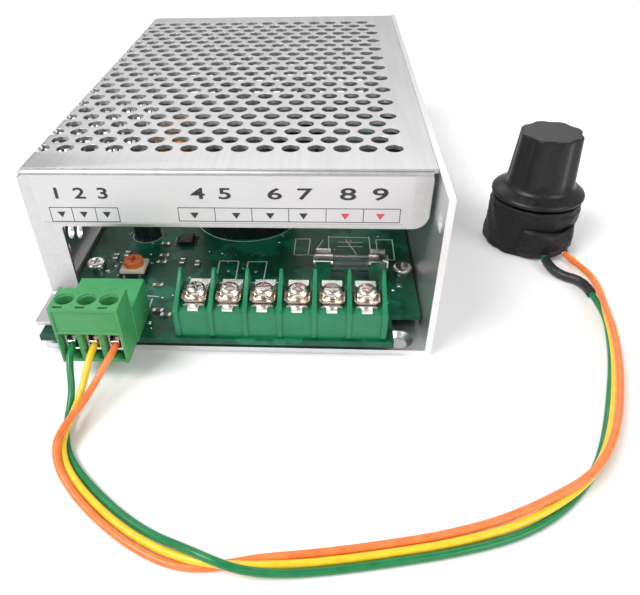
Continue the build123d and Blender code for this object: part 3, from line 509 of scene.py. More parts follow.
bm = bmesh.new()
TH = 0.03
for x0, x1, marks in ((-43.1, -26.5, (-37.7, -32.0)),
                      (-12.1, 39.7, (-3.4, 5.3, 13.95, 22.65, 31.3))):
    z0, z1 = (29.15, 32.85) if x0 < -40 else (29.5, 33.0)
    lines([((x0, z0), (x1, z0)), ((x1, z0), (x1, z1)), ((x1, z1), (x0, z1)), ((x0, z1), (x0, z0))]
          + [((m, z0), (m, z1)) for m in marks], 0.16, on_label, TH, 0, bm)
lines([((-45.3, 28.95), (40.5, 28.95))], 0.14, on_label, TH, 2, bm)
for x, red in ((-40.4, 0), (-35.0, 0), (-29.4, 0), (-8.3, 0), (1.6, 0), (9.6, 0), (17.4, 0),
               (27.1, 1), (35.2, 1)):
    s = 1.0 if x < -20 else 1.05
    add_prism(bm, [(x - s, 31.75), (x, 30.2), (x + s, 31.75)], on_label, TH, red)
grey = material("label_ink_grey", (0.30, 0.30, 0.31), (0.42, 0.42, 0.43), 0.4, 0.1, 0, 900, 0.05)
from_bmesh("label_marks", bm, [INK, INK_RED, grey], "case", (), 20)


def figures(text, cx, cz, height, name, width=1.0):
    cu = bpy.data.curves.new(name, "FONT")
    cu.body = text
    cu.size = height / 0.70 * MM
    cu.align_x, cu.align_y = "CENTER", "CENTER"
    cu.space_character = 1.15
    cu.offset = 0.00007
    cu.extrude = 0.000012
    cu.resolution_u = 4
    t = bpy.data.objects.new(name + "_text", cu)
    scene.collection.objects.link(t)
    bpy.context.view_layer.update()
    me = bpy.data.meshes.new_from_object(t.evaluated_get(bpy.context.evaluated_depsgraph_get()))
    bpy.data.objects.remove(t)
    me.transform(Matrix.Translation((cx * MM, -0.067015, cz * MM))
                 @ Matrix.Rotation(math.pi / 2, 4, "X") @ Matrix.Diagonal((width, 1, 1, 1)))
    me.materials.clear()
    me.materials.append(INK)
    o = bpy.data.objects.new(name, me)
    scene.collection.objects.link(o)
    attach(o, "case")
    return o


figures("1 2 3", -34.9, 36.4, 2.7, "label_figures_left", 1.55)
figures("4 5", -3.8, 36.5, 2.7, "label_figures_a", 1.75)
figures("6 7", 14.2, 36.5, 2.7, "label_figures_b", 1.9)
figures("8 9", 31.2, 36.5, 2.9, "label_figures_c", 1.9)


# ---- board details -------------------------------------------------------------------------
def on_board(u, v, w):
    return (u, v, 5.605 + w)


bm = bmesh.new()
SW = 0.30
for pts in ([(-7.4, -47.1), (-1.9, -47.0), (-1.7, -57.9), (-7.1, -58.0)],
            [(0.8, -47.2), (6.2, -47.1), (6.0, -57.7), (1.0, -57.8)],
            [(13.9, -34.4), (18.3, -34.3), (17.8, -43.3), (13.7, -43.4)],
            [(37.8, -34.4), (42.6, -34.3), (42.5, -45.4), (37.9, -45.4)]):
    lines(list(zip(pts, pts[1:] + pts[:1])), SW, on_board, 0.03, 0, bm)
lines([((22.1, -34.8), (20.1, -40.5)), ((28.9, -34.6), (32.2, -43.6)), ((23.7, -32.4), (23.8, -41.5)),
       ((35.8, -32.7), (35.9, -44.5)), ((18.0, -43.4), (36.0, -44.6)), ((24.0, -33.0), (35.8, -33.2)),
       ((-22.8, -66.0), (-22.6, -73.4)), ((-24.4, -64.6), (-21.4, -64.9)),
       ((-34.0, -48.6), (-26.6, -48.6)), ((26.5, -36.0), (33.5, -36.0)), ((26.5, -38.4), (33.5, -38.4)),
       ], SW, on_board, 0.03, 0, bm)
for cx, cy, rr, a0, a1 in ((-4.7, -44.2, 1.7, 10, 170), (3.3, -44.1, 1.7, 10, 170),
                           (-4.3, -52.2, 0.5, 0, 360), (3.5, -52.2, 0.5, 0, 360),
                           (-31.5, -33.0, 4.6, 0, 360), (-2.0, -20.0, 16.2, 180, 360),
                           (42.6, -58.2, 0.9, 60, 330), (-39.9, -50.9, 3.6, -60, 90)):
    p = arc_pts(cx, cy, rr, a0, a1, 20)
    lines(list(zip(p, p[1:])), 0.26, on_board, 0.03, 0, bm)
from_bmesh("silkscreen", bm, SILK, "case", (), 20)

# solder pads, vias and fillets at the leads
bm = bmesh.new()
seed = 7
spots = [(x, -68.4, 1.5) for x in (-8.525, -0.275, 7.975, 16.225, 24.475, 32.725)]
spots += [(-4.3, -52.2, 0.42), (3.5, -52.2, 0.42), (-20.3, -70.6, 0.95), (-18.3, -72.9, 0.8),
          (-21.3, -76.0, 0.7), (42.6, -58.3, 0.55), (40.9, -60.3, 0.5), (-38.6, -52.8, 0.7),
          (-36.9, -50.4, 0.6), (-24.5, -66.8, 0.6), (-33.6, -58.4, 0.6), (38.8, -66.0, 0.5)]
for i in range(46):
    a = noise.random()
    b = noise.random()
    x, y = -44 + 88 * a, -80 + 50 * b
    if -15 < x < 39 and y < -66 or -39 < x < -21 and y < -70 or abs(x) > 45.5 or x > 38 and y < -69:
        continue
    spots.append((x, y, 0.28 + 0.14 * noise.random()))
for x, y, r in spots:
    add_lathe(bm, x, y, [(r, 5.6), (r * 0.96, 5.66), (r * 0.72, 5.66 + 0.22 * r), (r * 0.3, 5.66 + 0.30 * r)], 14)
from_bmesh("solder_joints", bm, SOLDER, "case", (), 60)

# chips' end metal, gull legs' solder
bm = bmesh.new()
for x, y, w, d in ((-20.0, -71.4, 2.0, 1.3), (-17.6, -73.2, 2.0, 1.3), (-38.0, -46.0, 1.3, 2.0),
                   (-35.0, -44.5, 1.3, 2.0), (-24.0, -48.5, 2.0, 1.3), (-24.0, -45.0, 2.0, 1.3),
                   (-18.0, -48.0, 1.3, 2.0), (-13.5, -49.0, 1.3, 2.0), (-25.0, -38.5, 2.0, 1.3),
                   (-22.5, -60.0, 2.0, 1.3)):
    for s in (-1, 1):
        if w > d:
            add_box(bm, (x + s * w / 2 - 0.42, y - d / 2 - 0.08, 5.6), (x + s * w / 2 + 0.42, y + d / 2 + 0.08, 6.26), 0, 0.12)
        else:
            add_box(bm, (x - w / 2 - 0.08, y + s * d / 2 - 0.42, 5.6), (x + w / 2 + 0.08, y + s * d / 2 + 0.42, 6.26), 0, 0.12)
for s in (-1, 1):
    for d in (-1.9, -0.63, 0.63, 1.9):
        add_box(bm, (-18.6 + s * 2.95 - 0.55, -36.6 + d - 0.3, 5.6), (-18.6 + s * 2.95 + 0.55, -36.6 + d + 0.3, 5.95), 0, 0.08)
from_bmesh("chip_ends", bm, SOLDER, "case", (), 40)

# trimmer: black foot, cream plate with metal clips
bm = bmesh.new()
add_box(bm, (-33.9, -56.75, 5.6), (-26.9, -50.05, 7.15), 0, 0.15)
add_box(bm, (-33.85, -56.7, 7.15), (-26.95, -50.1, 8.15), 1, 0.2, 3)
add_lathe(bm, -30.4, -53.4, [(2.95, 8.15), (2.95, 8.27), (2.85, 8.33), (1.2, 8.33), (1.1, 8.3)], 40, None, 1, False)
for x in (-32.6, -28.2):
    add_box(bm, (x - 0.45, -57.0, 5.62), (x + 0.45, -56.6, 7.0), 2, 0.08)
from_bmesh("trimmer_body", bm, [BLACK, CREAM, TIN], "case", ("trimmer_base",), 40)

# fuse wire inside the glass
bm = bmesh.new()
pts = []
for i in range(41):
    t = i / 40
    pts.append(Vector(((20.4 + 18.4 * t), -53.0 + 0.12 * math.sin(t * 9), 9.2 + 0.10 * math.cos(t * 7))) * MM)
for a, b in zip(pts, pts[1:]):
    ring = []
    for p in (a, b):
        ring.append([bm.verts.new(p + Vector((0, math.cos(q), math.sin(q))) * 0.00012) for q in (0, 2.09, 4.19)])
    for i in range(3):
        bm.faces.new((ring[0][i], ring[0][(i + 1) % 3], ring[1][(i + 1) % 3], ring[1][i]))
from_bmesh("fuse_wire", bm, TIN, "case", (), 60)

# ---- barrier strip screws and clamps ----------------------------------------------------------
POLES = [12.1 + (k - 2.5) * 8.25 for k in range(6)]


def cross_cut(bm_head, cx, cy, z, w, l, depth, turn):
    """Outline points of a cross-shaped recess for a pan head, rotated by turn."""
    pts = []
    h, q = l / 2, w / 2
    for x, y in ((q, q), (q, h), (-q, h), (-q, q), (-h, q), (-h, -q), (-q, -q), (-q, -h), (q, -h), (q, -q), (h, -q), (h, q)):
        c, s = math.cos(turn), math.sin(turn)
        pts.append((cx + x * c - y * s, cy + x * s + y * c))
    return pts


def screw_head(name, cx, cy, zb, r, h, turn, mat, body, rep, shank, slot_only=False):
    """Pan head with its recess cut through, over its shank."""
    bm = bmesh.new()
    prof = [(0.0001, zb - shank[1]), (shank[0] * 0.8, zb - shank[1]), (shank[0], zb - shank[1] + 0.4)]
    z = zb - shank[1] + 0.6
    while z < zb - 0.35:  # thread
        prof += [(shank[0] - 0.12, z), (shank[0], z + 0.22)]
        z += 0.5
    prof += [(shank[0], zb), (r * 0.94, zb), (r, zb + 0.12), (r, zb + h * 0.45)]
    for i in range(1, 7):
        a = i / 6 * math.pi / 2 * 0.93
        prof.append((r - h * 0.55 * (1 - math.cos(a)), zb + h * 0.45 + h * 0.53 * math.sin(a)))
    prof.append((0.0001, zb + h))
    add_lathe(bm, cx, cy, prof, 36, None, 0, False)
    bmesh.ops.remove_doubles(bm, verts=bm.verts, dist=1e-7)
    head = from_bmesh(name, bm, [mat, BLACK], body, rep, 35)
    cut = bmesh.new()
    pts = cross_cut(None, cx, cy, zb, 0.62, r * 1.42, 0, turn)
    add_prism(cut, pts, lambda u, v, w: (u, v, zb + h - 0.85 + w), 2.0, 0)
    if slot_only:
        pass
    bmesh.ops.recalc_face_normals(cut, faces=cut.faces[:])
    me = bpy.data.meshes.new(name + "_cut")
    cut.to_mesh(me)
    cut.free()
    co = bpy.data.objects.new(name + "_cut", me)
    scene.collection.objects.link(co)
    md = head.modifiers.new("recess", "BOOLEAN")
    md.operation = "DIFFERENCE"
    md.solver = "EXACT"
    md.object = co
    bpy.context.view_layer.update()
    dg = bpy.context.evaluated_depsgraph_get()
    new = bpy.data.meshes.new_from_object(head.evaluated_get(dg))
    head.modifiers.remove(md)
    old = head.data
    head.data = new
    bpy.data.meshes.remove(old)
    bpy.data.objects.remove(co)
    finish_mesh(head.data, 35)
    return head


TURNS = (0.35, 1.1, 0.1, 0.75, 0.0, 0.5)
for k, x in enumerate(POLES):
    screw_head(f"pole_screw_{k + 1}", x, -75.0, 14.70, 2.45, 1.9, TURNS[k], STEEL,
               f"clamp_screw_{k + 1}", (f"terminal_screw_{k + 1}",), (1.44, 6.6))
    # saddle clamp: square plate, its front and side edges curled up
    bm = bmesh.new()
    n, m = 14, 14
    zc = 13.87
    grid = []
    for i in range(n + 1):
        row = []
        for j in range(m + 1):
            u = -1 + 2 * i / n
            v = -1 + 2 * j / m
            # rectangular outline with a round hole
            px, py = 3.0 * u, 3.3 * v
            lift = 1.35 * max(0.0, abs(u) - 0.62) ** 1.5 * 4.0 * (0.75 + 0.25 * (1 - v * v))
            lift += 0.10 * max(0.0, -v - 0.7) * 3
            row.append((x + px, -75.0 + py, zc + lift))
        grid.append(row)
    top = [[bm.verts.new((Vector(p) + Vector((0, 0, 0.45))) * MM) for p in row] for row in grid]
    bot = [[bm.verts.new(Vector(p) * MM) for p in row] for row in grid]

    def inside(i, j):
        u = (-1 + 2 * (i + 0.5) / n) * 3.0
        v = (-1 + 2 * (j + 0.5) / m) * 3.3
        return math.hypot(u, v) < 1.55

    def has(i, j):
        return 0 <= i < n and 0 <= j < m and not inside(i, j)

    for i in range(n):
        for j in range(m):
            if inside(i, j):
                continue
            bm.faces.new((top[i][j], top[i + 1][j], top[i + 1][j + 1], top[i][j + 1]))
            bm.faces.new((bot[i][j + 1], bot[i + 1][j + 1], bot[i + 1][j], bot[i][j]))
            for di, dj, e in ((-1, 0, ((i, j + 1), (i, j))), (1, 0, ((i + 1, j), (i + 1, j + 1))),
                              (0, -1, ((i, j), (i + 1, j))), (0, 1, ((i + 1, j + 1), (i, j + 1)))):
                if not has(i + di, j + dj):
                    (a, b), (c, d) = e
                    bm.faces.new((bot[a][b], bot[c][d], top[c][d], top[a][b]))
    # split lock washer over the saddle
    seg = 40
    prev = None
    for i in range(seg + 1):
        a = math.radians(20 + 340 * i / seg)
        rise = 0.10 * i / seg
        ring = []
        for rr, zz in ((1.62, 14.33), (2.75, 14.33), (2.75, 14.56), (1.62, 14.56)):
            ring.append(bm.verts.new(Vector((x + rr * math.cos(a), -75.0 + rr * math.sin(a), zz + rise)) * MM))
        if prev:
            for q in range(4):
                bm.faces.new((prev[q], ring[q], ring[(q + 1) % 4], prev[(q + 1) % 4]))
        else:
            bm.faces.new(ring)
        prev = ring
    bm.faces.new(list(reversed(prev)))
    bmesh.ops.recalc_face_normals(bm, faces=bm.faces[:])
    o = from_bmesh(f"pole_clamp_{k + 1}", bm, WASHER, f"clamp_{k + 1}",
                   (f"terminal_clamp_{k + 1}",), 30)

# barrier block with a screw well at each pole, and tapered fins that are thinnest at the top
BX, BY0, BY1, BZ0, BZ1 = 12.1, -81.0, -69.0, 5.6, 13.0
block = flat_fill("block", [(BX - 25.6, BY0), (BX + 25.6, BY0), (BX + 25.6, BY1), (BX - 25.6, BY1)],
                  [(BX + (k - 2.5) * 8.25, -75.0, 1.8) for k in range(6)], 24)
bent_sheet(block, "barrier_shell", lambda x, y, d: (x, y, BZ1 - d), BZ1 - BZ0, BARRIER, "case",
           ("barrier_block",))
bm = bmesh.new()
FIN = [(BY0 - 0.38, BZ1 - 0.05), (BY0 - 0.38, BZ1 + 0.35), (-79.0, BZ1 + 1.55), (-75.4, 16.15),
       (-73.2, 17.5), (-72.1, 18.3), (-71.5, 18.66), (-70.9, 18.76), (-70.3, 18.6), (-69.9, 18.1),
       (-69.5, 17.2), (BY1 - 0.25, BZ1 + 0.5), (BY1 - 0.05, BZ1 - 0.05)]
for k in range(7):
    xx = BX + (k - 3) * 8.25
    add_box(bm, (xx - 0.62, BY0 - 0.38, BZ0 + 0.3), (xx + 0.62, BY1 - 0.05, BZ1 + 0.02), 0, 0.15)
    sides = []
    for s in (-1, 1):
        sides.append([bm.verts.new(Vector((xx + s * (0.62 - 0.24 * max(0.0, z - BZ1) / (18.76 - BZ1)),
                                           y, z)) * MM) for y, z in FIN])
    lo, hi = sides
    bm.faces.new(lo)
    bm.faces.new(list(reversed(hi)))
    for i in range(len(FIN)):
        j = (i + 1) % len(FIN)
        bm.faces.new((lo[j], lo[i], hi[i], hi[j]))
bmesh.ops.recalc_face_normals(bm, faces=bm.faces[:])
from_bmesh("barrier_fins", bm, BARRIER, "case", (), 30)

# ---- plug ---------------------------------------------------------------------------------------
WAYS = [-30.05 + (k - 1) * 5.08 for k in range(3)]
X0, X1 = -37.85, -22.25


def plug_block():
    """Outer block with a scalloped rear edge at the top; its wells, slots and chambers are cut out afterwards."""
    bm = bmesh.new()
    rear = []
    for i in range(61):
        x = X1 - (X1 - X0) * i / 60
        d = min(abs(x - w) for w in WAYS)
        y = -84.35 + (math.sqrt(max(0.0, 2.5 ** 2 - d * d)) - 1.75) * 0.9 if d < 2.5 else -84.35 - 1.4
        if x > X1 - 0.9 or x < X0 + 0.9:
            y = -83.6
        rear.append((x, min(y, -83.62)))
    top = [(X0, -91.95), (X1, -91.95)] + rear
    add_prism(bm, top, lambda u, v, w: (u, v, 15.6 + w), 5.85, 0)
    low = [(X0 + 0.02, -91.95), (X1 - 0.02, -91.95), (X1 - 0.02, -83.62), (X0 + 0.02, -83.62)]
    add_prism(bm, low, lambda u, v, w: (u, v, 6.05 + w), 9.7, 0)
    add_box(bm, (-36.6, -84.5, 7.0), (-23.5, -75.25, 14.2), 0)
    bmesh.ops.recalc_face_normals(bm, faces=bm.faces[:])
    return bm


def cutter(shape):
    bm = bmesh.new()
    shape(bm)
    bmesh.ops.recalc_face_normals(bm, faces=bm.faces[:])
    me = bpy.data.meshes.new("cut")
    bm.to_mesh(me)
    bm.free()
    o = bpy.data.objects.new("cut", me)
    scene.collection.objects.link(o)
    return o


def boolean_all(target, cutters, op="DIFFERENCE"):
    for c in cutters:
        md = target.modifiers.new("b", "BOOLEAN")
        md.operation = op
        md.solver = "EXACT"
        md.use_self = True
        md.object = c
    bpy.context.view_layer.update()
    dg = bpy.context.evaluated_depsgraph_get()
    new = bpy.data.meshes.new_from_object(target.evaluated_get(dg))
    target.modifiers.clear()
    old = target.data
    target.data = new
    bpy.data.meshes.remove(old)
    for c in cutters:
        bpy.data.objects.remove(c)


plug = from_bmesh("plug_shell", plug_block(), PLUG, "plug", ("plug_housing",), 30)
cuts = []
for x in WAYS:
    def shape(b, x=x):
        add_lathe(b, x, -88.0, [(1.9, 15.5), (1.9, 20.9), (2.15, 21.2), (2.15, 22.5)], 32)

    def shape2(b, x=x):
        add_box(b, (x - 1.95, -92.5, 7.0), (x + 1.95, -85.2, 14.4))

    def shape3(b, x=x):
        add_box(b, (x - 1.7, -91.45, 19.8), (x + 0.45, -90.65, 22))

    cuts += [cutter(shape), cutter(shape2), cutter(shape3)]
cuts.append(cutter(lambda b: add_box(b, (X0 + 0.7, -92.6, 14.9), (X1 - 0.7, -91.7, 20.6))))
cuts.append(cutter(lambda b: add_box(b, (X0 + 0.55, -92.6, 5.0), (X1 - 0.55, -91.55, 14.0))))
boolean_all(plug, cuts)
finish_mesh(plug.data, 30)
wd = plug.modifiers.new("weld", "WELD")
wd.merge_threshold = 0.000003
bv = plug.modifiers.new("edges", "BEVEL")
bv.width, bv.segments, bv.limit_method, bv.angle_limit = 0.16 * MM, 2, "ANGLE", math.radians(38)

# ---- potentiometer boot and knob ------------------------------------------------------------
PX, PY = 85.7, -22.0


def wobble(x, y, z, s):
    return noise.noise(Vector((x, y, z)) * s)


def boot_shape(a, r, z):
    x, y = math.cos(a), math.sin(a)
    if r < 12.2:
        return r, z, 0, 0
    w = 0.30 * wobble(x * 9, y * 9, z * 0.9, 0.32) + 0.16 * wobble(x * 14, y * 14, z * 1.6 + 4, 0.6)
    w += 0.10 * math.sin(a * 13 + z * 0.6) * (1 if z < 12 else 0.4)
    return min(r + w - 0.28, 13.4), z, 0, 0


bm = bmesh.new()
prof = [(11.9, 0.9), (11.9, 0.06), (13.1, 0.05)]
zz = 0.35
while zz < 13.9:
    belly = 13.35 - 0.25 * math.sin(zz / 14 * math.pi) ** 2 - (0.35 if zz > 12.6 else 0)
    prof.append((belly, zz))
    zz += 0.45
prof += [(13.0, 14.1), (12.6, 14.38), (11.8, 14.4), (11.3, 14.25), (10.2, 13.6), (9.2, 12.6), (8.2, 12.0), (6.0, 11.9)]
add_lathe(bm, PX, PY, prof, 160, boot_shape, 0, False)
bmesh.ops.recalc_face_normals(bm, faces=bm.faces[:])
boot = from_bmesh("boot_skin", bm, BOOT, "case", ("pot_boot",), 60)

# wrapping over the lugs: a crumpled cap at the front
bm = bmesh.new()
n, m = 40, 26
rows = []
for j in range(m + 1):
    v = j / m
    row = []
    for i in range(n + 1):
        u = i / n
        a = math.radians(-118 + 78 * u)                     # around the boot's front right
        bulge = math.sin(math.pi * min(1, max(0, u * 1.0))) ** 0.45
        z = 0.1 + (8.9 + 1.0 * math.sin(u * 8) * 0.4) * v
        depth = 3.1 * bulge * math.sin(math.pi * min(1.0, 0.10 + 0.9 * (1 - v))) ** 0.55 * (1.0 if v < 0.98 else 0.6)
        rr = 12.6 + depth
        rr += 0.45 * wobble(u * 7, v * 5, 3.3, 1.0) * bulge + 0.22 * wobble(u * 16, v * 12, 8.1, 1.0)
        p = Vector((PX + rr * math.cos(a), max(PY + rr * math.sin(a), -38.35), z))
        p.x = min(p.x, 96.1)
        row.append(bm.verts.new(p * MM))
    rows.append(row)
for j in range(m):
    for i in range(n):
        bm.faces.new((rows[j][i], rows[j][i + 1], rows[j + 1][i + 1], rows[j + 1][i]))
bmesh.ops.recalc_face_normals(bm, faces=bm.faces[:])
wrap = from_bmesh("boot_wrap", bm, BOOT, "case", (), 70)


def knob_shape(a, r, z):
    if z < 18.55 or r < 4.0:
        return r, z, 0, 0
    lobe = math.cos(8 * (a - 0.2))
    cutd = 0.78 * max(0.0, 0.5 - 0.5 * lobe) ** 1.3
    fade = min(1.0, (z - 18.5) / 2.2)
    edge = 1.0 if z > 33.4 and r < 8.0 else 1.0
    return r - cutd * fade * edge * (r / 9.0), z, 0, 0


def taper(z):
    return 9.85 - (z - 18.0) * (9.85 - 8.62) / 15.7


bm = bmesh.new()
prof = [(3.0, 30.0), (3.0, 18.9), (7.4, 18.8), (7.4, 15.45), (7.5, 15.4), (12.75, 15.4), (13.05, 15.5),
        (13.18, 15.75), (13.18, 16.15), (13.0, 16.45), (12.6, 16.75), (11.6, 17.5), (10.7, 18.05),
        (10.35, 18.3), (10.1, 18.6)]
for i in range(1, 25):
    zz = 18.6 + (33.2 - 18.6) * i / 24
    prof.append((taper(zz), zz))
prof += [(taper(33.4) - 0.05, 33.42), (taper(33.5) - 0.22, 33.6), (taper(33.6) - 0.5, 33.68), (7.6, 33.70),
         (5.0, 33.70), (2.0, 33.70), (0.001, 33.70)]
rings = add_lathe(bm, PX, PY, prof, 192, knob_shape, 0, False)
bmesh.ops.remove_doubles(bm, verts=bm.verts, dist=1e-6)
bmesh.ops.recalc_face_normals(bm, faces=bm.faces[:])
for f in bm.faces:
    if f.calc_center_median().z > 0.03369:
        f.material_index = 1
knob = from_bmesh("knob_body", bm, [KNOB, KNOB_TOP], "knob", ("knob",), 34)

# ---- wires ----------------------------------------------------------------------------------------
GREEN = [
    (-35.13, -88.6, 10.2), (-35.15, -92.9, 10.05), (-34.5, -96.4, 7.6), (-33.75, -99.6, 4.3),
    (-33.7, -103.2, 2.1), (-33.3, -106.9, 1.05), (-32.45, -110.3, 0.9), (-30.76, -114.01, 0.85),
    (-28.07, -117.74, 0.85), (-24.13, -121.72, 0.85), (-19.12, -126.06, 0.85),
    (-13.59, -130.17, 0.98), (-7.77, -133.63, 1.48), (-2.36, -136.51, 3.26), (2.5, -139.06, 4.45),
    (7.63, -140.42, 3.4), (12.75, -140.18, 1.78), (19.42, -139.41, 0.98), (27.41, -138.13, 0.85),
    (36.54, -136.36, 0.85), (45.85, -134.38, 0.85), (55.25, -131.66, 0.85), (61.71, -128.8, 0.85),
    (67.78, -124.74, 0.85), (73.39, -119.35, 0.85), (77.94, -113.45, 0.85), (81.44, -106.93, 0.85),
    (84.74, -99.45, 0.85), (88.04, -91.1, 0.85), (91.29, -82.38, 0.85), (93.99, -73.05, 0.85),
    (95.9, -64.38, 0.85), (95.6, -59.4, 1.3), (95.25, -54.6, 1.4), (94.9, -50.6, 1.45),
    (93.2, -47.6, 1.45), (90.4, -46.2, 1.45), (88.3, -43.6, 1.5), (87.3, -40.2, 1.75),
    (87.0, -36.8, 1.9),
]
YELLOW = [
    (-30.05, -88.6, 10.2), (-30.1, -92.9, 10.1), (-30.6, -96.2, 8.0), (-31.2, -99.4, 5.2),
    (-31.75, -103.0, 3.5), (-32.1, -106.8, 2.75), (-32.14, -110.4, 2.65), (-31.61, -114.29, 2.41),
    (-29.34, -118.65, 1.75), (-25.37, -122.99, 1.16), (-20.25, -127.47, 0.85),
    (-14.59, -131.67, 0.91), (-8.59, -135.2, 1.16), (-2.8, -137.77, 2.05), (2.49, -139.12, 2.65),
    (7.54, -139.15, 2.12), (12.52, -138.46, 1.32), (19.16, -137.63, 0.91), (27.09, -136.36, 0.85),
    (36.18, -134.59, 0.88), (45.42, -132.64, 0.98), (54.71, -130.02, 1.35), (61.08, -127.47, 1.88),
    (67.29, -123.99, 2.41), (73.39, -119.35, 2.65), (78.25, -113.67, 2.61), (81.99, -107.21, 2.54),
    (85.37, -99.71, 2.52), (88.57, -91.28, 2.56), (91.48, -82.43, 2.64), (93.87, -73.03, 2.65),
    (95.35, -64.29, 2.6), (96.35, -59.2, 2.85), (97.15, -53.9, 2.75), (97.25, -48.9, 2.6),
    (96.4, -44.2, 2.1), (95.5, -40.2, 1.8), (95.0, -36.8, 1.75),
]
ORANGE = [
    (-24.97, -88.6, 10.2), (-25.1, -92.9, 10.2), (-26.6, -96.0, 8.6), (-28.2, -99.3, 6.4),
    (-29.6, -103.3, 5.1), (-31.0, -107.0, 4.5), (-31.95, -110.6, 4.35), (-32.47, -114.58, 3.97),
    (-30.61, -119.55, 2.65), (-26.6, -124.27, 1.48), (-21.37, -128.87, 0.85),
    (-15.58, -133.17, 0.87), (-9.4, -136.78, 0.85), (-3.25, -139.03, 0.86), (2.48, -139.19, 0.85),
    (7.46, -137.88, 0.86), (12.3, -136.73, 0.85), (18.91, -135.85, 0.86), (26.78, -134.59, 0.85),
    (35.83, -132.83, 0.91), (44.99, -130.9, 1.1), (54.17, -128.37, 1.84), (60.44, -126.14, 2.91),
    (66.79, -123.23, 3.97), (73.39, -119.35, 4.45), (78.55, -113.89, 4.37), (82.54, -107.49, 4.23),
    (85.99, -99.96, 4.19), (89.09, -91.47, 4.27), (91.66, -82.49, 4.43), (93.74, -73.0, 4.44),
    (94.8, -64.19, 4.3), (95.35, -59.0, 4.45), (95.6, -53.6, 4.45), (95.4, -48.6, 4.35),
    (94.6, -44.1, 3.6), (93.4, -40.2, 3.1), (92.8, -36.8, 3.0),
]


def spline_path(name, pts, res):
    cu = bpy.data.curves.new(name, "CURVE")
    cu.dimensions = "3D"
    s = cu.splines.new("NURBS")
    s.points.add(len(pts) - 1)
    for p, q in zip(s.points, pts):
        p.co = (q[0] * MM, q[1] * MM, q[2] * MM, 1)
    s.order_u = 3
    s.use_endpoint_u = True
    cu.resolution_u = res
    o = bpy.data.objects.new(name, cu)
    scene.collection.objects.link(o)
    bpy.context.view_layer.update()
    me = bpy.data.meshes.new_from_object(o.evaluated_get(bpy.context.evaluated_depsgraph_get()))
    path = [v.co.copy() for v in me.vertices]
    bpy.data.objects.remove(o)
    clean = [path[0]]
    for p in path[1:]:
        if (p - clean[-1]).length > 1e-6:
            clean.append(p)
    return clean


def tube(name, path, radius, mat, sides=18, swell=None):
    bm = bmesh.new()
    t = (path[1] - path[0]).normalized()
    n = t.orthogonal().normalized()
    rings = []
    for i, p in enumerate(path):
        t2 = (path[min(i + 1, len(path) - 1)] - path[max(i - 1, 0)]).normalized()
        q = t.rotation_difference(t2)
        n = (q @ n)
        n = (n - t2 * n.dot(t2)).normalized()
        b = t2.cross(n)
        t = t2
        r = radius * (swell(i / (len(path) - 1)) if swell else 1.0)
        rings.append([bm.verts.new(p + (n * math.cos(2 * math.pi * k / sides) + b * math.sin(2 * math.pi * k / sides)) * r) for k in range(sides)])
    for a, c in zip(rings, rings[1:]):
        for k in range(sides):
            bm.faces.new((a[k], a[(k + 1) % sides], c[(k + 1) % sides], c[k]))
    bm.faces.new(list(reversed(rings[0])))
    bm.faces.new(rings[-1])
    bmesh.ops.recalc_face_normals(bm, faces=bm.faces[:])
    me = bpy.data.meshes.new(name)
    bm.to_mesh(me)
    bm.free()
    me.materials.append(mat)
    finish_mesh(me, 60)
    o = bpy.data.objects.new(name, me)
    scene.collection.objects.link(o)
    return o


paths = {}
for name, pts, mat, slot in (("lead_green", GREEN, W_GREEN, "wire_green"),
                             ("lead_yellow", YELLOW, W_YELLOW, "wire_yellow"),
                             ("lead_orange", ORANGE, W_ORANGE, "wire_orange")):
    path = spline_path(name, pts, 8)
    paths[name] = path
    o = tube(name, path, 0.8 * MM, mat)
    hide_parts(slot)
    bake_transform(o)

# black heat-shrink sleeve over the green lead's last stretch
gp = paths["lead_green"]
s0 = next(i for i, p in enumerate(gp) if p.y > -0.0550 and p.x > 0.08)
s1 = max(i for i, p in enumerate(gp) if p.y < -0.0382)
sleeve = tube("lead_sleeve", gp[s0:s1 + 1], 1.28 * MM, SLEEVE, 20,
              lambda t: 1.0 + 0.02 * math.sin(t * 60) - (0.12 * max(0.0, 1 - t * 25)))
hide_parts("wire_sleeve")
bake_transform(sleeve)


for name, with_pieces in (("lead_green", [sleeve]), ("lead_yellow", []), ("lead_orange", [])):
    p = paths[name]

# ---- floor, light, camera ----------------------------------------------------------------------
def backdrop_material():
    m = material("floor_paper", (0.93, 0.93, 0.935), (0.95, 0.95, 0.955), 0.7, 0.05, 0.0, 8, 0.0)
    return m


me = bpy.data.meshes.new("floor")
bm = bmesh.new()
bmesh.ops.create_grid(bm, x_segments=1, y_segments=1, size=3.0)
bm.to_mesh(me)
bm.free()
me.materials.append(backdrop_material())
floor = bpy.data.objects.new("floor", me)
scene.collection.objects.link(floor)
floor.location = (0, 0, -0.0001)

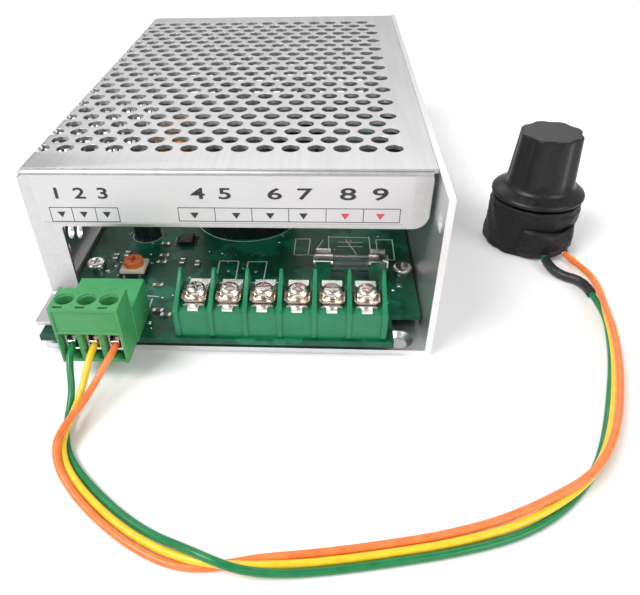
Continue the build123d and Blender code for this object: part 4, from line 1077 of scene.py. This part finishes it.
world = bpy.data.worlds.new("studio")
scene.world = world
world.use_nodes = True
wt = world.node_tree
wt.nodes.clear()
wo = wt.nodes.new("ShaderNodeOutputWorld")
bg = wt.nodes.new("ShaderNodeBackground")
wc = wt.nodes.new("ShaderNodeTexCoord")
sep = wt.nodes.new("ShaderNodeSeparateXYZ")
wr = wt.nodes.new("ShaderNodeValToRGB")
wt.links.new(wc.outputs["Generated"], sep.inputs["Vector"])
mr = wt.nodes.new("ShaderNodeMapRange")
mr.inputs["From Min"].default_value = -0.2
mr.inputs["From Max"].default_value = 1.0
wt.links.new(sep.outputs["Z"], mr.inputs["Value"])
wt.links.new(mr.outputs["Result"], wr.inputs["Fac"])
wr.color_ramp.elements[0].position = 0.0
wr.color_ramp.elements[0].color = (0.86, 0.86, 0.88, 1)
wr.color_ramp.elements[1].position = 1.0
wr.color_ramp.elements[1].color = (0.42, 0.42, 0.42, 1)
middle = wr.color_ramp.elements.new(0.72)
middle.color = (1.0, 0.99, 0.985, 1)
wt.links.new(wr.outputs["Color"], bg.inputs["Color"])
bg.inputs["Strength"].default_value = 0.53
wt.links.new(bg.outputs["Background"], wo.inputs["Surface"])


def area(name, loc, target, size, energy, colour=(1, 1, 1)):
    li = bpy.data.lights.new(name, "AREA")
    li.shape = "RECTANGLE"
    li.size, li.size_y = size
    li.energy = energy
    li.color = colour
    o = bpy.data.objects.new(name, li)
    scene.collection.objects.link(o)
    o.location = loc
    o.rotation_euler = (Vector(target) - Vector(loc)).to_track_quat("-Z", "Y").to_euler()
    return o


area("key", (-0.45, -0.35, 0.75), (0.0, -0.04, 0.0), (0.55, 0.4), 8.0)
area("fill", (0.55, -0.45, 0.45), (0.03, -0.05, 0.0), (0.5, 0.4), 2.6, (1, 0.98, 0.96))
area("back", (0.0, 0.6, 0.55), (0.0, 0.0, 0.03), (0.8, 0.3), 1.8)

a, b, g = 0.6905, -0.0797, -0.0309
fwd = Vector((math.sin(b) * math.cos(a), math.cos(b) * math.cos(a), -math.sin(a)))
right = Vector((math.cos(b), -math.sin(b), 0))
up = right.cross(fwd)
r2 = right * math.cos(g) + up * math.sin(g)
u2 = -right * math.sin(g) + up * math.cos(g)
cam = bpy.data.cameras.new("camera")
co = bpy.data.objects.new("camera", cam)
scene.collection.objects.link(co)
rot = Matrix((r2, u2, -fwd)).transposed()
co.matrix_world = Matrix.Translation(Vector((22.096, -195.636, 100.956)) * MM) @ rot.to_4x4()
cam.sensor_width = 36
cam.lens = 34.6
cam.shift_x = 0.0572
cam.shift_y = 0.0613
cam.clip_start, cam.clip_end = 0.005, 20
scene.camera = co
